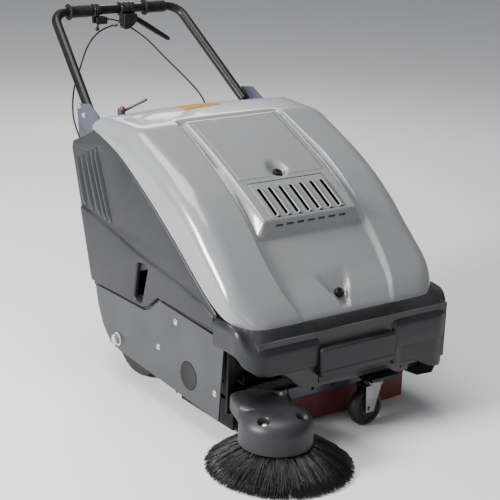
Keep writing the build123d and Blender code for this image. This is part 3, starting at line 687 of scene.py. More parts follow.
def build_hood_trim(f):
    """The round knob low on the nose and the blank label near the rear edge."""
    z = float(hood_top(0, KNOB_Y))
    knob = Solid().turned([(-8, 4), (0, 5), (0, 13), (5, 13.6), (9.5, 11.5), (11, 8), (9, 6.5), (9, 0)],
                          (0, KNOB_Y, z + 1), (0, -0.66, 0.75), 32)
    knob.make("nose_knob", "hood", f["black"], replaces=["hood_knob"], slot="black_plastic")
    corners = [(-84, 300), (-82, 243), (54, 262), (41, 312)]
    outline = filleted(corners, 5, 4, closed=True)
    heart = Vector((-18, 280))
    label = Solid()
    edge = []
    for start, end in zip(outline, outline[1:] + outline[:1]):
        count = max(1, round((end - start).length / 6))
        edge += [start.lerp(end, step / count) for step in range(count)]
    rings = []
    thick = 1.1
    shares = [0.985] + [tenth / 10 for tenth in range(9, 0, -1)]
    for lift, share in [(0.1, 1.0)] + [(thick, share) for share in shares]:
        spots = [heart + (point - heart) * share for point in edge]
        rings.append([(spot.x, spot.y, float(hood_top(spot.x, spot.y)) + lift) for spot in spots])
    label.loft(rings)
    label.make("blank_label", "hood", f["label"], slot="black_plastic")


# ---- side covers --------------------------------------------------------------------------
COVER_FOOT = [(309, 674), (353, 650), (426, 619), (431, 599), (312, 245), (106, 248), (40, 250),
              (10, 262), (-33, 298), (-296, 298), (-296, 336)]
CREASE = [(379, 448), (336, 442), (189, 416), (79, 394), (9, 384), (-103, 371), (-233, 350), (-290, 330)]
LOUVRE_TOPS = [(396, 582), (370, 593), (345, 608), (321, 619), (299, 629)]
LOUVRE_FEET = [(348, 450), (309, 446), (270, 442), (237, 436), (212, 432)]
HAND_SLOT = [(67, 367), (14, 372), (43, 262), (82, 262)]
COVER_IN, COVER_OUT = 318, 334
SHAFT_Y, SHAFT_Z = -181, 133   # the main brush's shaft
CAP_FACE = 319.6
SCREW_SPOTS = [(-115, 258), (-35, 162), (-300, 128)]
BRACKET_BOLTS = [(474, 703), (446, 681.5)]
SKIRT_FACE, BRACKET_FACE = 328, 279.5


def rolled(outline, radius, steps=4):
    """Rounds every corner of a closed outline that has room for it."""
    count = len(outline)
    radii = []
    for i in range(count):
        a, b, c = Vector(outline[i - 1]), Vector(outline[i]), Vector(outline[(i + 1) % count])
        opening = (a - b).angle(c - b)
        room = 0.45 * min((a - b).length, (c - b).length) * math.tan(opening / 2)
        radii.append(min(radius, room))
    return filleted(outline, radii, steps, closed=True)


def build_covers(f):
    """Both moulded side covers, their louvre blades and the round caps of the main brush's shaft."""
    ridge = [(y, float(hood_edge(y)) - 3) for y in range(-262, 301, 25)]
    outline = COVER_FOOT + ridge
    gaps = []
    for (y0, z0), (y1, z1) in zip(LOUVRE_TOPS, LOUVRE_FEET):
        run = (Vector((y1, z1)) - Vector((y0, z0))).normalized()
        away = Vector((-run.y, run.x)) * 7
        start, end = Vector((y0, z0)) + run * 3, Vector((y1, z1)) - run * 3
        gaps.append(rolled([start + away, end + away, end - away, start - away], 5))
    hand = rolled(HAND_SLOT, 9)
    lower = rolled(COVER_FOOT[4:10] + list(reversed(CREASE)), 8)
    lip = [(310, 300), (318, 262), (312, 231), (106, 232), (36, 234), (0, 248), (-40, 284), (-292, 282),
           (-292, 322), (0, 370), (100, 330)]
    for side, word in ((-1, "left"), (1, "right")):
        sheets = [
            (plate(rolled(outline, 9), 11, 4.5, holes=[*gaps, hand]), standing(side * (COVER_IN + 5.5))),
            (plate(lower, 14, 6.5, holes=[hand], rounds=5), standing(side * (COVER_OUT - 6.5))),
            (plate(lip, 3, 0.5, holes=[hand]), standing(side * 321)),
        ]
        placed(f"cover_{word}", sheets, "chassis", f["plastic"], replaces=[f"side_cover_{word}"],
               slot="dark_plastic", sharp=35)
        blades = Solid()
        for (y0, z0), (y1, z1) in zip(LOUVRE_TOPS, LOUVRE_FEET):
            run = (Vector((y1, z1)) - Vector((y0, z0))).normalized()
            across = Vector((-run.y, run.x))
            if across.x < 0:
                across = -across
            section = [(-2, COVER_IN + 3), (-1, COVER_IN + 6), (2.5, COVER_OUT - 0.5), (5.5, COVER_OUT + 0.5),
                       (8.5, COVER_OUT - 2), (9, COVER_OUT - 8), (3, COVER_IN + 2)]
            rings = []
            for step in range(9):
                t = step / 8
                ease = min(1.0, 8 * min(t, 1 - t) + 0.35)
                spot = Vector((y0, z0)).lerp(Vector((y1, z1)), t)
                rings.append([
                    (side * (COVER_IN + 3 + (x - COVER_IN - 3) * ease), spot.x + across.x * o,
                     spot.y + across.y * o) for o, x in section])
            blades.loft(rings)
        # The blades wear the louvre finish: cover plastic lightened as a painted highlight.
        blades.make(f"louvres_{word}", "chassis", f["louvre_highlight"], slot="dark_plastic", sharp=40)
        cap = Solid().turned([(0, 30), (0, 37.5), (6.5, 37.5), (8.5, 36), (9.2, 33), (8.8, 31), (9, 0)],
                             (side * CAP_FACE, SHAFT_Y, SHAFT_Z), (side, 0, 0), 48)
        cap.make(f"brush_cap_{word}", "chassis", f["black"],
                 replaces=["brush_caps"] if side < 0 else [], slot="black_plastic")


def build_bolts(f):
    """Domed screws in the skirts and hexagon bolts in the handle brackets."""
    washer = [(-5, 3.5), (0, 3.5), (0, 8.5)]
    dome = [(0.8, 8.5), (0.9, 6.6), (2.6, 6), (3.6, 4.2), (4, 2.6), (2.8, 2.2), (2.8, 0)]
    hexagon = [(1.2, 7), (5, 7), (5.8, 6), (5.8, 0)]
    heads = Solid()
    for side in (-1, 1):
        out = (side, 0, 0)
        for y, z in SCREW_SPOTS:
            heads.turned(washer + dome, (side * SKIRT_FACE, y, z), out, 24)
        for y, z in BRACKET_BOLTS:
            spot = (side * BRACKET_FACE, y, z)
            heads.turned(washer + [(1.2, 8.5)], spot, out, 24)
            heads.turned(hexagon, spot, out, 6)
    heads.make("body_bolts_dressed", "chassis", f["screw"], replaces=["body_bolts"], slot="bright_screw",
               sharp=30)


# ---- hopper -------------------------------------------------------------------------------
BUMPER_OUT, BUMPER_FRONT, BUMPER_REAR = 334, -446, -298
BUMPER_CORNER = 60             # plan radius of its corners
HANDLE_X = (-122, 136)         # the sunk stretch behind the pull handle
BUMPER_FOOT = [(-334, 262), (-326, 240), (-300, 221), (-262, 214), (-117, 214), (-115, 246),
               (123, 246), (125, 168), (210, 160), (262, 134), (310, 122), (334, 150)]


def build_bumper(f):
    """The wrap-round front: one section carried round the plan path, closing up to the hood's edge."""
    corners = [(-BUMPER_OUT, BUMPER_REAR), (-BUMPER_OUT, BUMPER_FRONT), (BUMPER_OUT, BUMPER_FRONT),
               (BUMPER_OUT, BUMPER_REAR)]
    path = filleted(corners, BUMPER_CORNER, 16)
    fine = []
    for a, b in zip(path, path[1:]):
        count = max(1, round((b - a).length / 7))
        fine += [a.lerp(b, k / count) for k in range(count)]
    fine.append(path[-1])
    for x in (-123, -119, -116, -112, 122, 125, 129, 133, 137, 144):
        nearest = min((p for p in fine if abs(p.y - BUMPER_FRONT) < 0.1), key=lambda p: abs(p.x - x))
        nearest.x = x
    rings = []
    for index, spot in enumerate(fine):
        ahead = fine[min(index + 1, len(fine) - 1)] - fine[max(index - 1, 0)]
        inward = Vector((-ahead.y, ahead.x)).normalized()
        if abs(spot.x) > HALF - CORNER and spot.y < NOSE + CORNER:
            centre = Vector((math.copysign(HALF - CORNER, spot.x), NOSE + CORNER))
            inward = Vector((centre.x - spot.x, centre.y - spot.y)).normalized()
        low = float(along(BUMPER_FOOT, spot.x))
        front = 1 - float(smooth(-440, -388, spot.y))
        reach = 10
        while reach < 70 and rim_distance(spot.x + inward.x * reach, spot.y + inward.y * reach) < 1.5:
            reach += 1
        top = min(float(hood_edge(spot.y + inward.y * reach)) - 1.5, 326)
        brow = top - 8 - 38 * front
        from_left = smooth(HANDLE_X[0], HANDLE_X[0] + 9, spot.x)
        to_right = 1 - smooth(HANDLE_X[1] - 14, HANDLE_X[1], spot.x)
        groove = 11 * float(from_left * to_right) if front > 0.99 else 0
        reach -= groove
        step = 5 * float(smooth(134, 150, spot.x)) if low < 200 else 0
        section = [(12 + step, low + 3), (5 + step, low + 0.6), (2 + step, low), (0.4 + step, low + 1.4),
                   (step, low + 5)]
        shoulder = max(low + 12, 210) if step else low + 12
        section += [(step, shoulder - 3), (step * 0.3, shoulder)]
        section += [(0, shoulder + 2 + (brow - 6 - shoulder - 2) * k / 4) for k in range(1, 5)]
        section += [(0.5, brow - 1.5), (1.8, brow + 2.5), (4, brow + 6)]
        section += [(4 + (reach - 8) * k / 4, brow + 6 + (top - 3 - brow - 6) * k / 4) for k in range(1, 5)]
        section += [(reach - 2, top - 0.8), (reach, top)]
        rings.append([(spot.x + inward.x * (inset + groove), spot.y + inward.y * (inset + groove), z)
                      for inset, z in section])
    shell = Solid().loft(rings, capped=False, wrap=False)
    bumper = shell.make("bumper", "hopper", f["bumper"], replaces=["hopper_fascia"], slot="dark_plastic",
                        sharp=40)
    modify(bumper, "SOLIDIFY", thickness=3.5 * MM, offset=1, use_even_offset=False)
    smoothed(bumper, 40)


def build_grip(f):
    """The pull handle: a front block, a lip below it and a backing plate."""
    face = rounded_box((-121, 121), (184, 258), 6)
    lip = rounded_box((-118, 118), (184, 200), 6)
    rear = rounded_box((-112, 120), (160, 262), 6)
    layers = [
        (plate(face, 22, 5, rounds=5), facing(-450)),
        (plate(lip, 5, 2), facing(-459.5)),
        (plate(rear, 8, 3), facing(-438)),
    ]
    placed("hopper_handle", layers, "hopper", f["bumper"], replaces=["hopper_grip"], slot="dark_plastic",
           sharp=45)


# ---- side brush ---------------------------------------------------------------------------
BRUSH_X, BRUSH_Y = -271, -503
CAP_X, CAP_Y = -281, -497
CAP_R, CAP_LOW, CAP_TOP = 92, 66, 149
NECK_LOW = 98
SUNK = [(-219, -419), (-340, -524), (-245, -550)]     # the three sunk screws
SUNK_TOP = (149, 144, 144)                            # height of the cap's surface at each
SUNK_TILT = (0, 0.34, 0.34)                           # how far each leans away from the cap's middle
SUNK_DEPTH = 15.2


def build_brush_cap(f):
    """A domed cup over the brush drive, a neck back to the arm, and three sunk screws."""
    neck_outline = [(-318, -348), (-328, -372), (-346, -428), (-332, -468), (-281, -492), (-222, -482),
                    (-194, -440), (-194, -414), (-206, -394), (-230, -376), (-236, -348)]
    neck_outline = filleted(neck_outline, 15, 5, closed=True)
    neck = placed("side_brush_neck",
                  [(plate(neck_outline, CAP_TOP - NECK_LOW, 13, rounds=6), lying((CAP_TOP + NECK_LOW) / 2))],
                  "brush_arm", f["plastic"], replaces=["brush_arm"], slot="dark_plastic", sharp=40)
    hollow = [(94, 0), (94, CAP_R - 6), (CAP_LOW, CAP_R - 6)]
    dome = [(CAP_LOW, CAP_R - 2), (CAP_LOW + 2, CAP_R), (110, CAP_R), (119, CAP_R - 1), (127, CAP_R - 4),
            (134, CAP_R - 9), (140, 75.5), (144.5, 66), (147.5, 54), (CAP_TOP, 42), (149.6, 20), (149.6, 0)]
    cap = Solid().turned(hollow + dome, (CAP_X, CAP_Y, 0), (0, 0, 1), 72)
    cap = cap.make("side_brush_cap", "brush_arm", f["plastic"], replaces=["brush_cover"], slot="dark_plastic",
                   sharp=40)
    cutter = Solid()
    heads = Solid()
    for (x, y), z, tilt in zip(SUNK, SUNK_TOP, SUNK_TILT):
        away = Vector((x - CAP_X, y - CAP_Y, 0)).normalized() * tilt
        axis = Vector((away.x, away.y, 1)).normalized()
        cutter.turned([(-15, 11), (-7, 12), (-4, 13.5), (-1.5, 16), (0, 18), (6, 22)], (x, y, z), axis, 36)
        heads.turned([(0, 7), (2.4, 7), (4, 5.6), (4.4, 3.4), (2.8, 3), (2.8, 0)],
                     Vector((x, y, z)) - axis * SUNK_DEPTH, axis, 24)
    tool = cutter.make("cap_cutter", "brush_arm", f["plastic"])
    for part in (neck, cap):
        modify(part, "BOOLEAN", operation="DIFFERENCE", object=tool, solver="EXACT")
        smoothed(part, 40)
    bpy.data.objects.remove(tool)
    heads.make("cap_screw_heads", "brush_arm", f["screw"], replaces=["cover_screws"], slot="bright_screw")
    bar = Solid().slab([(-291, -351), (-267, -351), (-267, -280), (-291, -280)], 147, 151, bevel=0.6)
    bar.turned([(0, 7.5), (1, 9), (23, 9), (24, 7.5)], (-291, -292, 150), (1, 0, 0), 32)
    bar.make("brush_arm_bar", "brush_arm", f["black"], slot="black_plastic", sharp=40)
    wire = Solid().tube([(-149, -342, 100), (-158, -360, 128), (-176, -395, 150), (-196, -428, 153),
                         (-206, -440, 151), (-214, -452, 147)], 1.6, 8)
    wire.make("brush_wire", "brush_arm", f["black"], slot="black_plastic")


def strands(name, body, material, paths, radius, replaces):
    """Many tapered three-sided bristles, each through its own points."""
    verts, faces = [], []
    for path in paths:
        base = len(verts)
        count = len(path)
        for i, point in enumerate(path):
            ahead = path[min(i + 1, count - 1)] - path[max(i - 1, 0)]
            side = ahead.orthogonal().normalized()
            other = ahead.cross(side).normalized()
            thick = radius * (1 - 0.35 * i / (count - 1))
            for k in range(3):
                a = 2 * math.pi * k / 3
                verts.append(point + (side * math.cos(a) + other * math.sin(a)) * thick)
        for i in range(count - 1):
            for k in range(3):
                a, b = base + 3 * i + k, base + 3 * i + (k + 1) % 3
                faces.append((a, b, b + 3, a + 3))
        faces.append((base + 2, base + 1, base))
        end = base + 3 * (count - 1)
        faces.append((end, end + 1, end + 2))
    mesh = bpy.data.meshes.new(name)
    mesh.from_pydata([at(*vert) for vert in verts], [], faces)
    mesh.update()
    mesh.materials.append(material)
    thing = bpy.data.objects.new(name, mesh)
    bpy.context.scene.collection.objects.link(thing)
    mesh.shade_smooth()
    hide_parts(*replaces)
    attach(thing, body)
    return thing


def build_side_brush(f):
    """The side brush's plate and its tufts of bristles, splayed down to the floor."""
    look = bpy.context.scene.sweeper_look
    chance = random.Random(11)
    paths = []
    tufts = 26
    for index in range(look.side_bristles):
        tuft = index % tufts
        heart = 2 * math.pi * tuft / tufts
        angle = heart + chance.gauss(0, 0.035)
        ring = 60 + 8 * (index % 2) + chance.uniform(-2, 2)
        spread = angle + chance.gauss(0, 0.075)
        reach = chance.uniform(166, 186)
        tip_z = chance.uniform(2.4, 8)
        path = []
        for step in range(5):
            t = step / 4
            r = ring + (reach - ring) * t
            a = angle + (spread - angle) * t
            z = 70 - (70 - tip_z) * t ** 1.12 + 5 * math.sin(math.pi * t)
            path.append(Vector((BRUSH_X + r * math.cos(a), BRUSH_Y + r * math.sin(a), z)))
        paths.append(path)
    strands("side_brush_strands", "side_brush", f["bristle"], paths, 1.15, ["side_brush_bristles"])
    disc = Solid().turned([(0, 40), (0, 68), (3, 72), (12, 72), (16, 68), (18, 50), (18, 12)],
                          (BRUSH_X, BRUSH_Y, 70), (0, 0, 1), 64)
    disc.make("side_brush_plate", "side_brush", f["black"], replaces=["side_brush_disc"],
              slot="black_plastic")


def build_main_brush(f):
    """Eight slanted rows of bristles round the main brush's core."""
    look = bpy.context.scene.sweeper_look
    chance = random.Random(5)
    paths = []
    for index in range(look.main_bristles):
        x = -248 + 496 * chance.random()
        row = index % 8
        angle = 2 * math.pi * row / 8 + x * 0.0042 + chance.gauss(0, 0.05)
        lean = chance.gauss(0, 0.05)
        path = []
        for step, r in enumerate((50, 92, chance.uniform(124, 130.5))):
            a = angle + lean * step
            path.append(Vector((x + chance.uniform(-2, 2) * step, SHAFT_Y + r * math.cos(a),
                                SHAFT_Z + r * math.sin(a))))
        paths.append(path)
    strands("main_brush_strands", "main_brush", f["bristle"], paths, 1.2, ["main_brush_bristles"])


# ---- running gear -------------------------------------------------------------------------
AXLE_Z = 115
TYRE_X = 272                   # outer face of each tyre
CASTER = (66, -419, 50)


def build_wheels(f):
    """The rear tyres, with a centre groove and notches across the tread."""
    for side, word in ((-1, "left"), (1, "right")):
        out = side * TYRE_X
        tread = []
        segments = 96
        profile = [(0.5, 80), (0, 84), (0, 104), (2, 110), (6, 114), (10, 115), (21, 115), (22, 112),
                   (24, 112), (25, 115), (36, 115), (40, 114), (44, 110), (46, 104), (46, 84), (45.5, 80)]
        for k in range(segments):
            a = 2 * math.pi * k / segments
            notch = 2.2 if k % 4 == 0 else 0
            ring = []
            for depth, radius in profile:
                r = radius - notch if radius > 111 else radius
                ring.append((out - side * depth, AXLE_Y + r * math.cos(a), AXLE_Z + r * math.sin(a)))
            tread.append(ring)
        tyre = Solid()
        count = len(profile)
        tyre.add([p for ring in tread for p in ring],
                 [(r * count + c, r * count + (c + 1) % count, ((r + 1) % segments) * count + (c + 1) % count,
                   ((r + 1) % segments) * count + c) for r in range(segments) for c in range(count)])
        tyre.make(f"tread_{word}", f"wheel_{word}", f["tyre"], replaces=[f"tyre_{word}"], slot="tyre_rubber",
                  sharp=40)


def build_caster(f):
    """The caster's wheel, the same on both sides of its middle."""
    half = [(13, 8), (13, 24), (9, 27), (9, 36), (12, 38), (13, 42), (11, 47), (6, 49.6)]
    profile = [(-x, radius) for x, radius in half] + [(0, 50)] + half[::-1]
    wheel = Solid().turned(profile, CASTER, (0, 1, 0), 56)
    wheel.make("caster_roller", "caster_wheel", f["tyre"], replaces=["caster_wheel"], slot="tyre_rubber")


# ---- handle and controls ------------------------------------------------------------------
BAR_Y, BAR_Z = 750, 917        # the handlebar's middle line
DRIVE_CABLE = [
    (-22, 735, 871), (-52, 735, 864), (-85, 730, 847), (-120, 714, 819), (-151, 688, 784),
    (-181, 655, 757), (-216, 615, 735), (-243, 578, 709), (-264, 543, 682), (-281, 507, 658),
    (-290, 472, 635), (-292, 442, 606),
]
FLAP_CABLE = [
    (-28, 746, 889), (-2, 753, 884), (27, 759, 873), (56, 756, 856), (71, 733, 842),
    (76, 690, 828), (74, 642, 812), (71, 590, 795), (72, 536, 775), (76, 482, 752),
    (78, 430, 730), (77, 386, 708), (76, 362, 680), (76, 354, 652),
]
CABLE_D = 5
DRIVE_CABLE_LENGTH, FLAP_CABLE_LENGTH = 510.4, 559.4


def build_cables(f):
    """The two control cables, each along its own route."""
    for name, route, length in (("drive_cable_sheath", DRIVE_CABLE, DRIVE_CABLE_LENGTH),
                                ("flap_cable_sheath", FLAP_CABLE, FLAP_CABLE_LENGTH)):
        curve = bpy.data.curves.new(name, "CURVE")
        curve.dimensions = "3D"
        curve.bevel_depth = CABLE_D / 2 * MM
        curve.bevel_resolution = 5
        curve.resolution_u = 16
        curve.use_fill_caps = True
        spline = curve.splines.new("NURBS")
        spline.points.add(len(route) - 1)
        for point, spot in zip(spline.points, route):
            point.co = (*at(*spot), 1)
        spline.order_u = 3
        spline.use_endpoint_u = True
        curve.materials.append(f["black"])
        cable = bpy.data.objects.new(name, curve)
        bpy.context.scene.collection.objects.link(cable)
        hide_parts(name.replace("_sheath", ""))
        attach(cable, "chassis")


def ribbed(low, high, radius, depth, pitch):
    """A sleeve profile with rings of rib along its length."""
    made = [(low, radius - depth - 1), (low + 0.6, radius)]
    count = max(2, int((high - low) / pitch))
    for k in range(count):
        start = low + 2 + (high - low - 4) * k / count
        step = (high - low - 4) / count
        made += [(start, radius), (start + step * 0.55, radius), (start + step * 0.7, radius - depth),
                 (start + step * 0.9, radius - depth)]
    return made + [(high - 0.6, radius), (high, radius - depth - 1)]


def build_grips(f):
    """Two ribbed grips, each with a flange at its left end."""
    grips = Solid()
    for low, high, flange in ((-166, -92, -166), (94, 168, 94)):
        body = [(flange, 15), (flange, 21), (flange + 1.5, 24), (flange + 4.5, 24), (flange + 6, 21),
                (flange + 8, 18.3)]
        sleeve = ribbed(low + 8, high, 18, 1.0, 6)
        grips.turned(body + sleeve[1:], (0, BAR_Y, BAR_Z), (1, 0, 0), 40)
    grips.make("bar_grips", "chassis", f["rubber"], replaces=["handle_grips"], slot="rubber", sharp=50)


def build_clamps(f):
    """The two clamps on the bar: grooved rings, cast blocks and the ferrules of the cables."""
    rings = Solid()
    for low, high, radius in ((8, 56, 21), (-84, -64, 20)):
        width = high - low
        groove = [(low, 15), (low, radius - 1.5), (low + 1.5, radius)]
        for share in (0.32, 0.64):
            middle_x = low + width * share
            groove += [(middle_x - 2, radius), (middle_x - 1, radius - 2), (middle_x + 1, radius - 2),
                       (middle_x + 2, radius)]
        groove += [(high - 1.5, radius), (high, radius - 1.5), (high, 15)]
        rings.turned(groove, (0, BAR_Y, BAR_Z), (1, 0, 0), 40)
    rings.make("bar_clamp_rings", "chassis", f["clamp"], replaces=["lever_brackets"], slot="clamp_paint")
    cheek = rolled([(8, 905), (56, 905), (56, 886), (47, 872), (30, 860), (8, 858)], 6)
    blocks = [
        (plate(cheek, 8, 2.5), facing(722)),
        (plate(cheek, 4, 1.5), facing(745.8)),
        (plate(rounded_box((8, 32), (860, 905), 5), 30, 3), facing(732)),
        (plate(rounded_box((-61, -46), (878, 900), 4), 28, 3), facing(737)),
        (plate(rounded_box((-84, -46), (879, 900), 4), 5, 1.5), facing(724.5)),
        (plate(rounded_box((-84, -46), (879, 900), 4), 10, 2), facing(746.5)),
    ]
    placed("bar_clamp_blocks", blocks, "chassis", f["clamp"], slot="clamp_paint", sharp=45)
    ferrules = Solid()
    for start, end, y, z in ((8, -22, 735, 871), (-46, -28, 746, 889)):
        way = 1 if end > start else -1
        length = abs(end - start)
        ferrules.turned([(-3, 4), (0, 4), (0, 6), (length * 0.3, 6), (length * 0.34, 4.6),
                         (length * 0.5, 4.6), (length * 0.54, 5.6), (length * 0.8, 5.6), (length - 1, 4.4),
                         (length, 3.2)], (start, y, z), (way, 0, 0), 24)
    ferrules.make("cable_ferrules", "chassis", f["zinc"], slot="zinc_steel")


def build_levers(f):
    """The long drive lever and the short flap trigger."""
    x, y, z = 46, 735, 893
    pull = Solid()
    pull.tube([(x - 4, y, z + 3), (x, y, z), (66, y, 883), (90, y, 869), (112, y, 856), (135, y, 842),
               (158, y, 829), (172, y, 820.5), (178, y, 817), (181.5, y, 815)],
              [5, 8, 9, 9.4, 9.2, 8.6, 7.8, 7.4, 6.4, 3], 18, squash=(1, 0.95))
    pull.turned([(-8, 5), (-7.6, 7.5), (7.6, 7.5), (8, 5)], (x, y, z), (0, 1, 0), 28)
    pull.make("drive_lever_blade", "drive_lever", f["black"], replaces=["drive_lever"], slot="black_plastic")
    x, y, z = -72, 733, 884
    trigger = Solid()
    trigger.turned([(-5.4, 4), (-5, 5), (5, 5), (5.4, 4)], (x, y, z), (0, 1, 0), 24)
    trigger.tube([(x, y, z), (x - 1, y, z - 8), (x - 3, y, z - 18)], [3.4, 2.8, 3.2], 12, up=(0, 1, 0))
    trigger.turned([(-6, 0.5), (-5.2, 3), (-3, 5.2), (0, 6), (3, 5.2), (5.2, 3), (6, 0.5)],
                   (x - 3, y, z - 20), (0, 0, 1), 20)
    trigger.make("flap_trigger", "flap_lever", f["black"], replaces=["flap_lever"], slot="black_plastic")


CLAMP_X, CLAMP_Y = -213, 358


def build_clamp_lever(f):
    """The clamp lever behind the hood and its red button."""
    arm = Solid()
    arm.turned([(0, 9), (0.6, 11), (16, 11), (18, 9), (18, 3)], (CLAMP_X, CLAMP_Y, 694.4), (0, 0, 1), 32)
    line = [(2, 0, 703), (10, 0, 706), (26, -2, 711), (50, -4, 720), (66, -6, 726.5), (74, -6, 729.5),
            (79, -6, 731)]
    arm.tube([(CLAMP_X + x, CLAMP_Y + y, z) for x, y, z in line], [6, 6.5, 4.6, 4.2, 4.8, 5.2, 2.5], 16,
             squash=(1, 0.8))
    arm.make("clamp_lever_arm", "clamp_lever", f["bracket"], replaces=["clamp_lever"], slot="black_plastic")
    button = Solid().turned([(0, 7), (4, 7), (6, 5.5), (6.6, 2)], (CLAMP_X + 2, CLAMP_Y, 711.5), (0, 0, 1),
                            28)
    button.make("clamp_button", "clamp_lever", f["red"], slot="black_plastic")


# ---- what stays as the frame has it -------------------------------------------------------
CARRIED = {
    "steel": ["side_skirt_left", "side_skirt_right", "main_motor", "side_brush_motor", "traction_motor"],
    "plastic": ["rear_panel", "fan_housing", "filter_panel"],
    "black": ["batteries", "cable_grommets", "fan_impeller", "clamp_base", "chassis_frame", "brush_chamber"],
    # The tub's finish is its grey darkened as painted shade.
    "shaded_tub": ["hopper_tub"],
    "rubber": ["main_drive_belt", "rubber_skirts", "traction_belt"],
    "flap": ["front_flap"],
    "handle": ["handle_tube"],
    "bracket": ["handle_brackets", "flap_strap"],
    "zinc": ["caster_plate", "caster_fork", "hood_hinges"],
    "screw": ["motor_shaft", "ignition_key", "rear_axle"],
    "aluminium": ["main_brush_pulley", "traction_pulley", "main_brush_core", "wheel_left", "wheel_right"],
}
SOFT_EDGES = {"side_skirt_left": 1, "side_skirt_right": 1, "hopper_tub": 1.5, "handle_brackets": 1,
              "caster_fork": 0.8, "caster_plate": 0.8, "flap_strap": 0.6, "rear_panel": 1.2}


def dress_carried(f):
    """Finishes and softens the parts that keep their frame mesh."""
    for key, nodes in CARRIED.items():
        for node in nodes:
            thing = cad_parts[node]
            thing.data.materials.clear()
            thing.data.materials.append(f[key])
            if node in SOFT_EDGES:
                soft = thing.modifiers.new("soft edges", "BEVEL")
                soft.width = SOFT_EDGES[node] * MM
                soft.segments = 2
                soft.limit_method = "ANGLE"
                soft.harden_normals = False


# ---- stage --------------------------------------------------------------------------------
# The camera's place is in millimetres; yaw, pitch and roll are in degrees.
EYE = (-2256.1, -3064.1, 1598.5)
LENS = 105.46
YAW, PITCH, ROLL = 36.166, 17.928, 2.193
# Each light: name, place in metres in the frame, size in metres, power in watts.
LIGHTS = [
    ("left softbox", (-3.6, 0.2, 2.1), 1.1, 330),
    ("top softbox", (-0.4, 0.4, 4.2), 2.4, 150),
    ("front softbox", (-1.6, -4.2, 1.6), 1.2, 14),
    ("rear softbox", (1.6, 2.8, 2.2), 1.4, 30),
]


def build_camera():
    """The camera, level with the horizon but for a small roll."""
    yaw, pitch, roll = (math.radians(value) for value in (YAW, PITCH, ROLL))
    ahead = Vector((math.sin(yaw) * math.cos(pitch), math.cos(yaw) * math.cos(pitch), -math.sin(pitch)))
    level = Vector((math.cos(yaw), -math.sin(yaw), 0))
    over = level.cross(ahead)
    right = level * math.cos(roll) + over * math.sin(roll)
    up = over * math.cos(roll) - level * math.sin(roll)
    data = bpy.data.cameras.new("view")
    data.lens = LENS
    data.sensor_width = 36
    data.clip_end = 50
    data.dof.use_dof = False
    camera = bpy.data.objects.new("view", data)
    turn = Matrix((right, up, -ahead)).transposed().to_4x4()
    camera.matrix_world = Matrix.Translation(at(*EYE)) @ turn
    bpy.context.scene.collection.objects.link(camera)
    bpy.context.scene.camera = camera


def build_stage():
    """A pale floor, four soft lights and a dim sky."""
    look = bpy.context.scene.sweeper_look
    floor = bpy.data.meshes.new("floor")
    reach = 14
    floor.from_pydata([(-reach, -reach, 0), (reach, -reach, 0), (reach, reach, 0), (-reach, reach, 0)], [],
                      [(0, 1, 2, 3)])
    pale = (0.80, 0.80, 0.80)
    faint = tuple(value * 0.99 for value in pale)
    floor.materials.append(finish("Floor", pale, faint, 0.75, scale=3, grain=80, bump=0.01, dust=0,
                                  spread=0.05))
    ground = bpy.data.objects.new("floor", floor)
    bpy.context.scene.collection.objects.link(ground)
    for name, place, size, power in LIGHTS:
        lamp = bpy.data.lights.new(name, "AREA")
        lamp.shape = "SQUARE"
        lamp.size = size
        lamp.energy = power * look.light_share
        thing = bpy.data.objects.new(name, lamp)
        thing.location = place
        thing.rotation_euler = (Vector((0, 0, 0.4)) - Vector(place)).to_track_quat("-Z", "Y").to_euler()
        bpy.context.scene.collection.objects.link(thing)
    world = bpy.data.worlds.new("studio")
    world.use_nodes = True
    sky = world.node_tree.nodes["Background"]
    sky.inputs["Color"].default_value = (0.93, 0.95, 1.0, 1)
    sky.inputs["Strength"].default_value = 0.28
    bpy.context.scene.world = world


# ---- add-on -------------------------------------------------------------------------------
class SweeperLook(bpy.types.PropertyGroup):
    """What can be changed before building"""

    hood_colour: FloatVectorProperty(
        name="Hood colour", description="Base colour of the hood", default=(0.225, 0.23, 0.235),
        subtype="COLOR", min=0, max=1)
    cover_colour: FloatVectorProperty(
        name="Cover colour", description="Base colour of covers and bumper", default=(0.0135, 0.0138, 0.016),
        subtype="COLOR", min=0, max=1)
    side_bristles: IntProperty(
        name="Side bristles", description="Number of bristles on the side brush", default=2600, min=200,
        max=8000, subtype="UNSIGNED")
    main_bristles: IntProperty(
        name="Main bristles", description="Number of bristles on the main brush", default=4200, min=200,
        max=12000, subtype="UNSIGNED")
    light_share: FloatProperty(
        name="Light share", description="Strength of the studio lights", default=1.0, min=0, max=5,
        subtype="FACTOR")


class SWEEPER_OT_camera(bpy.types.Operator):
    """Sets the camera at the product view"""

    bl_idname = "sweeper.camera"
    bl_label = "Camera"

    def execute(self, context):
        build_camera()
        return {"FINISHED"}


class SWEEPER_OT_cables(bpy.types.Operator):
    """Lays the two control cables along their routes"""

    bl_idname = "sweeper.cables"
    bl_label = "Cables"

    def execute(self, context):
        build_cables(finishes())
        return {"FINISHED"}


class SWEEPER_OT_hood(bpy.types.Operator):
    """Builds the hood's shell with its sunk top and the raised flat for the hatches"""

    bl_idname = "sweeper.hood"
    bl_label = "Hood"

    def execute(self, context):
        build_hood(finishes())
        return {"FINISHED"}


class SWEEPER_OT_lid(bpy.types.Operator):
    """Builds the removable lid and its screw"""

    bl_idname = "sweeper.lid"
    bl_label = "Lid"

    def execute(self, context):
        build_lid(finishes())
        return {"FINISHED"}


class SWEEPER_OT_grille(bpy.types.Operator):
    """Builds the louvred grille, with a dark sheet of painted shade behind it and dark bars of painted shade
    at its front mouths
    """

    bl_idname = "sweeper.grille"
    bl_label = "Grille"

    def execute(self, context):
        build_grille(finishes())
        return {"FINISHED"}


class SWEEPER_OT_hood_trim(bpy.types.Operator):
    """Builds the nose knob and the blank label"""

    bl_idname = "sweeper.hood_trim"
    bl_label = "Hood trim"

    def execute(self, context):
        build_hood_trim(finishes())
        return {"FINISHED"}


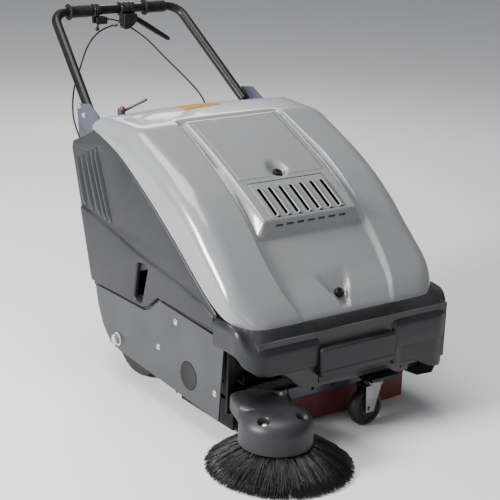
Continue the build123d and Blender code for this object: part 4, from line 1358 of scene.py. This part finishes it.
class SWEEPER_OT_covers(bpy.types.Operator):
    """Builds both moulded side covers with their louvres and the round brush caps"""

    bl_idname = "sweeper.covers"
    bl_label = "Side covers"

    def execute(self, context):
        build_covers(finishes())
        return {"FINISHED"}


class SWEEPER_OT_bolts(bpy.types.Operator):
    """Builds the screws of the skirts and the bolts of the handle brackets"""

    bl_idname = "sweeper.bolts"
    bl_label = "Bolts"

    def execute(self, context):
        build_bolts(finishes())
        return {"FINISHED"}


class SWEEPER_OT_bumper(bpy.types.Operator):
    """Builds the wrap-round front of the dirt hopper"""

    bl_idname = "sweeper.bumper"
    bl_label = "Bumper"

    def execute(self, context):
        build_bumper(finishes())
        return {"FINISHED"}


class SWEEPER_OT_grip(bpy.types.Operator):
    """Builds the pull handle of the dirt hopper"""

    bl_idname = "sweeper.grip"
    bl_label = "Hopper grip"

    def execute(self, context):
        build_grip(finishes())
        return {"FINISHED"}


class SWEEPER_OT_brush_cap(bpy.types.Operator):
    """Builds the cap over the side brush, its neck, sunk screws and wire"""

    bl_idname = "sweeper.brush_cap"
    bl_label = "Side brush cap"

    def execute(self, context):
        build_brush_cap(finishes())
        return {"FINISHED"}


class SWEEPER_OT_side_brush(bpy.types.Operator):
    """Builds the side brush's plate and bristles"""

    bl_idname = "sweeper.side_brush"
    bl_label = "Side brush"

    def execute(self, context):
        build_side_brush(finishes())
        return {"FINISHED"}


class SWEEPER_OT_main_brush(bpy.types.Operator):
    """Builds the main brush's bristles"""

    bl_idname = "sweeper.main_brush"
    bl_label = "Main brush"

    def execute(self, context):
        build_main_brush(finishes())
        return {"FINISHED"}


class SWEEPER_OT_wheels(bpy.types.Operator):
    """Builds the treaded tyres of the rear wheels"""

    bl_idname = "sweeper.wheels"
    bl_label = "Wheels"

    def execute(self, context):
        build_wheels(finishes())
        return {"FINISHED"}


class SWEEPER_OT_caster(bpy.types.Operator):
    """Builds the front caster's wheel"""

    bl_idname = "sweeper.caster"
    bl_label = "Caster"

    def execute(self, context):
        build_caster(finishes())
        return {"FINISHED"}


class SWEEPER_OT_grips(bpy.types.Operator):
    """Builds the two ribbed grips on the handlebar"""

    bl_idname = "sweeper.grips"
    bl_label = "Bar grips"

    def execute(self, context):
        build_grips(finishes())
        return {"FINISHED"}


class SWEEPER_OT_clamps(bpy.types.Operator):
    """Builds the cast clamps and cable ferrules on the handlebar"""

    bl_idname = "sweeper.clamps"
    bl_label = "Bar clamps"

    def execute(self, context):
        build_clamps(finishes())
        return {"FINISHED"}


class SWEEPER_OT_levers(bpy.types.Operator):
    """Builds the drive lever and the flap trigger"""

    bl_idname = "sweeper.levers"
    bl_label = "Levers"

    def execute(self, context):
        build_levers(finishes())
        return {"FINISHED"}


class SWEEPER_OT_clamp_lever(bpy.types.Operator):
    """Builds the clamp lever behind the hood and its red button"""

    bl_idname = "sweeper.clamp_lever"
    bl_label = "Clamp lever"

    def execute(self, context):
        build_clamp_lever(finishes())
        return {"FINISHED"}


class SWEEPER_OT_carried(bpy.types.Operator):
    """Gives every part that stays as the frame has it its finish"""

    bl_idname = "sweeper.carried"
    bl_label = "Carried parts"

    def execute(self, context):
        dress_carried(finishes())
        return {"FINISHED"}


class SWEEPER_OT_stage(bpy.types.Operator):
    """Sets the floor, the soft lights and the backdrop light"""

    bl_idname = "sweeper.stage"
    bl_label = "Stage"

    def execute(self, context):
        build_stage()
        return {"FINISHED"}


STEPS = [
    SWEEPER_OT_camera, SWEEPER_OT_cables, SWEEPER_OT_hood, SWEEPER_OT_lid, SWEEPER_OT_grille,
    SWEEPER_OT_hood_trim, SWEEPER_OT_covers, SWEEPER_OT_bolts, SWEEPER_OT_bumper, SWEEPER_OT_grip,
    SWEEPER_OT_brush_cap, SWEEPER_OT_side_brush, SWEEPER_OT_main_brush, SWEEPER_OT_wheels,
    SWEEPER_OT_caster, SWEEPER_OT_grips, SWEEPER_OT_clamps, SWEEPER_OT_levers, SWEEPER_OT_clamp_lever,
    SWEEPER_OT_carried, SWEEPER_OT_stage,
]


class SWEEPER_PT_panel(bpy.types.Panel):
    """The building steps and what can be changed, in the sidebar"""

    bl_idname = "SWEEPER_PT_panel"
    bl_label = "Sweeper"
    bl_space_type = "VIEW_3D"
    bl_region_type = "UI"
    bl_category = "Sweeper"

    def draw(self, context):
        look = context.scene.sweeper_look
        for name in ("hood_colour", "cover_colour", "side_bristles", "main_bristles", "light_share"):
            self.layout.prop(look, name)
        for step in STEPS:
            self.layout.operator(step.bl_idname)


CLASSES = [SweeperLook, *STEPS, SWEEPER_PT_panel]


def register():
    for item in CLASSES:
        bpy.utils.register_class(item)
    bpy.types.Scene.sweeper_look = PointerProperty(type=SweeperLook)


def unregister():
    del bpy.types.Scene.sweeper_look
    for item in reversed(CLASSES):
        bpy.utils.unregister_class(item)


def main():
    register()
    for step in STEPS:
        group, name = step.bl_idname.split(".")
        if getattr(getattr(bpy.ops, group), name)() != {"FINISHED"}:
            raise RuntimeError(f"{step.bl_label} did not finish")
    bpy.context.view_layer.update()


if __name__ == "__main__":
    main()
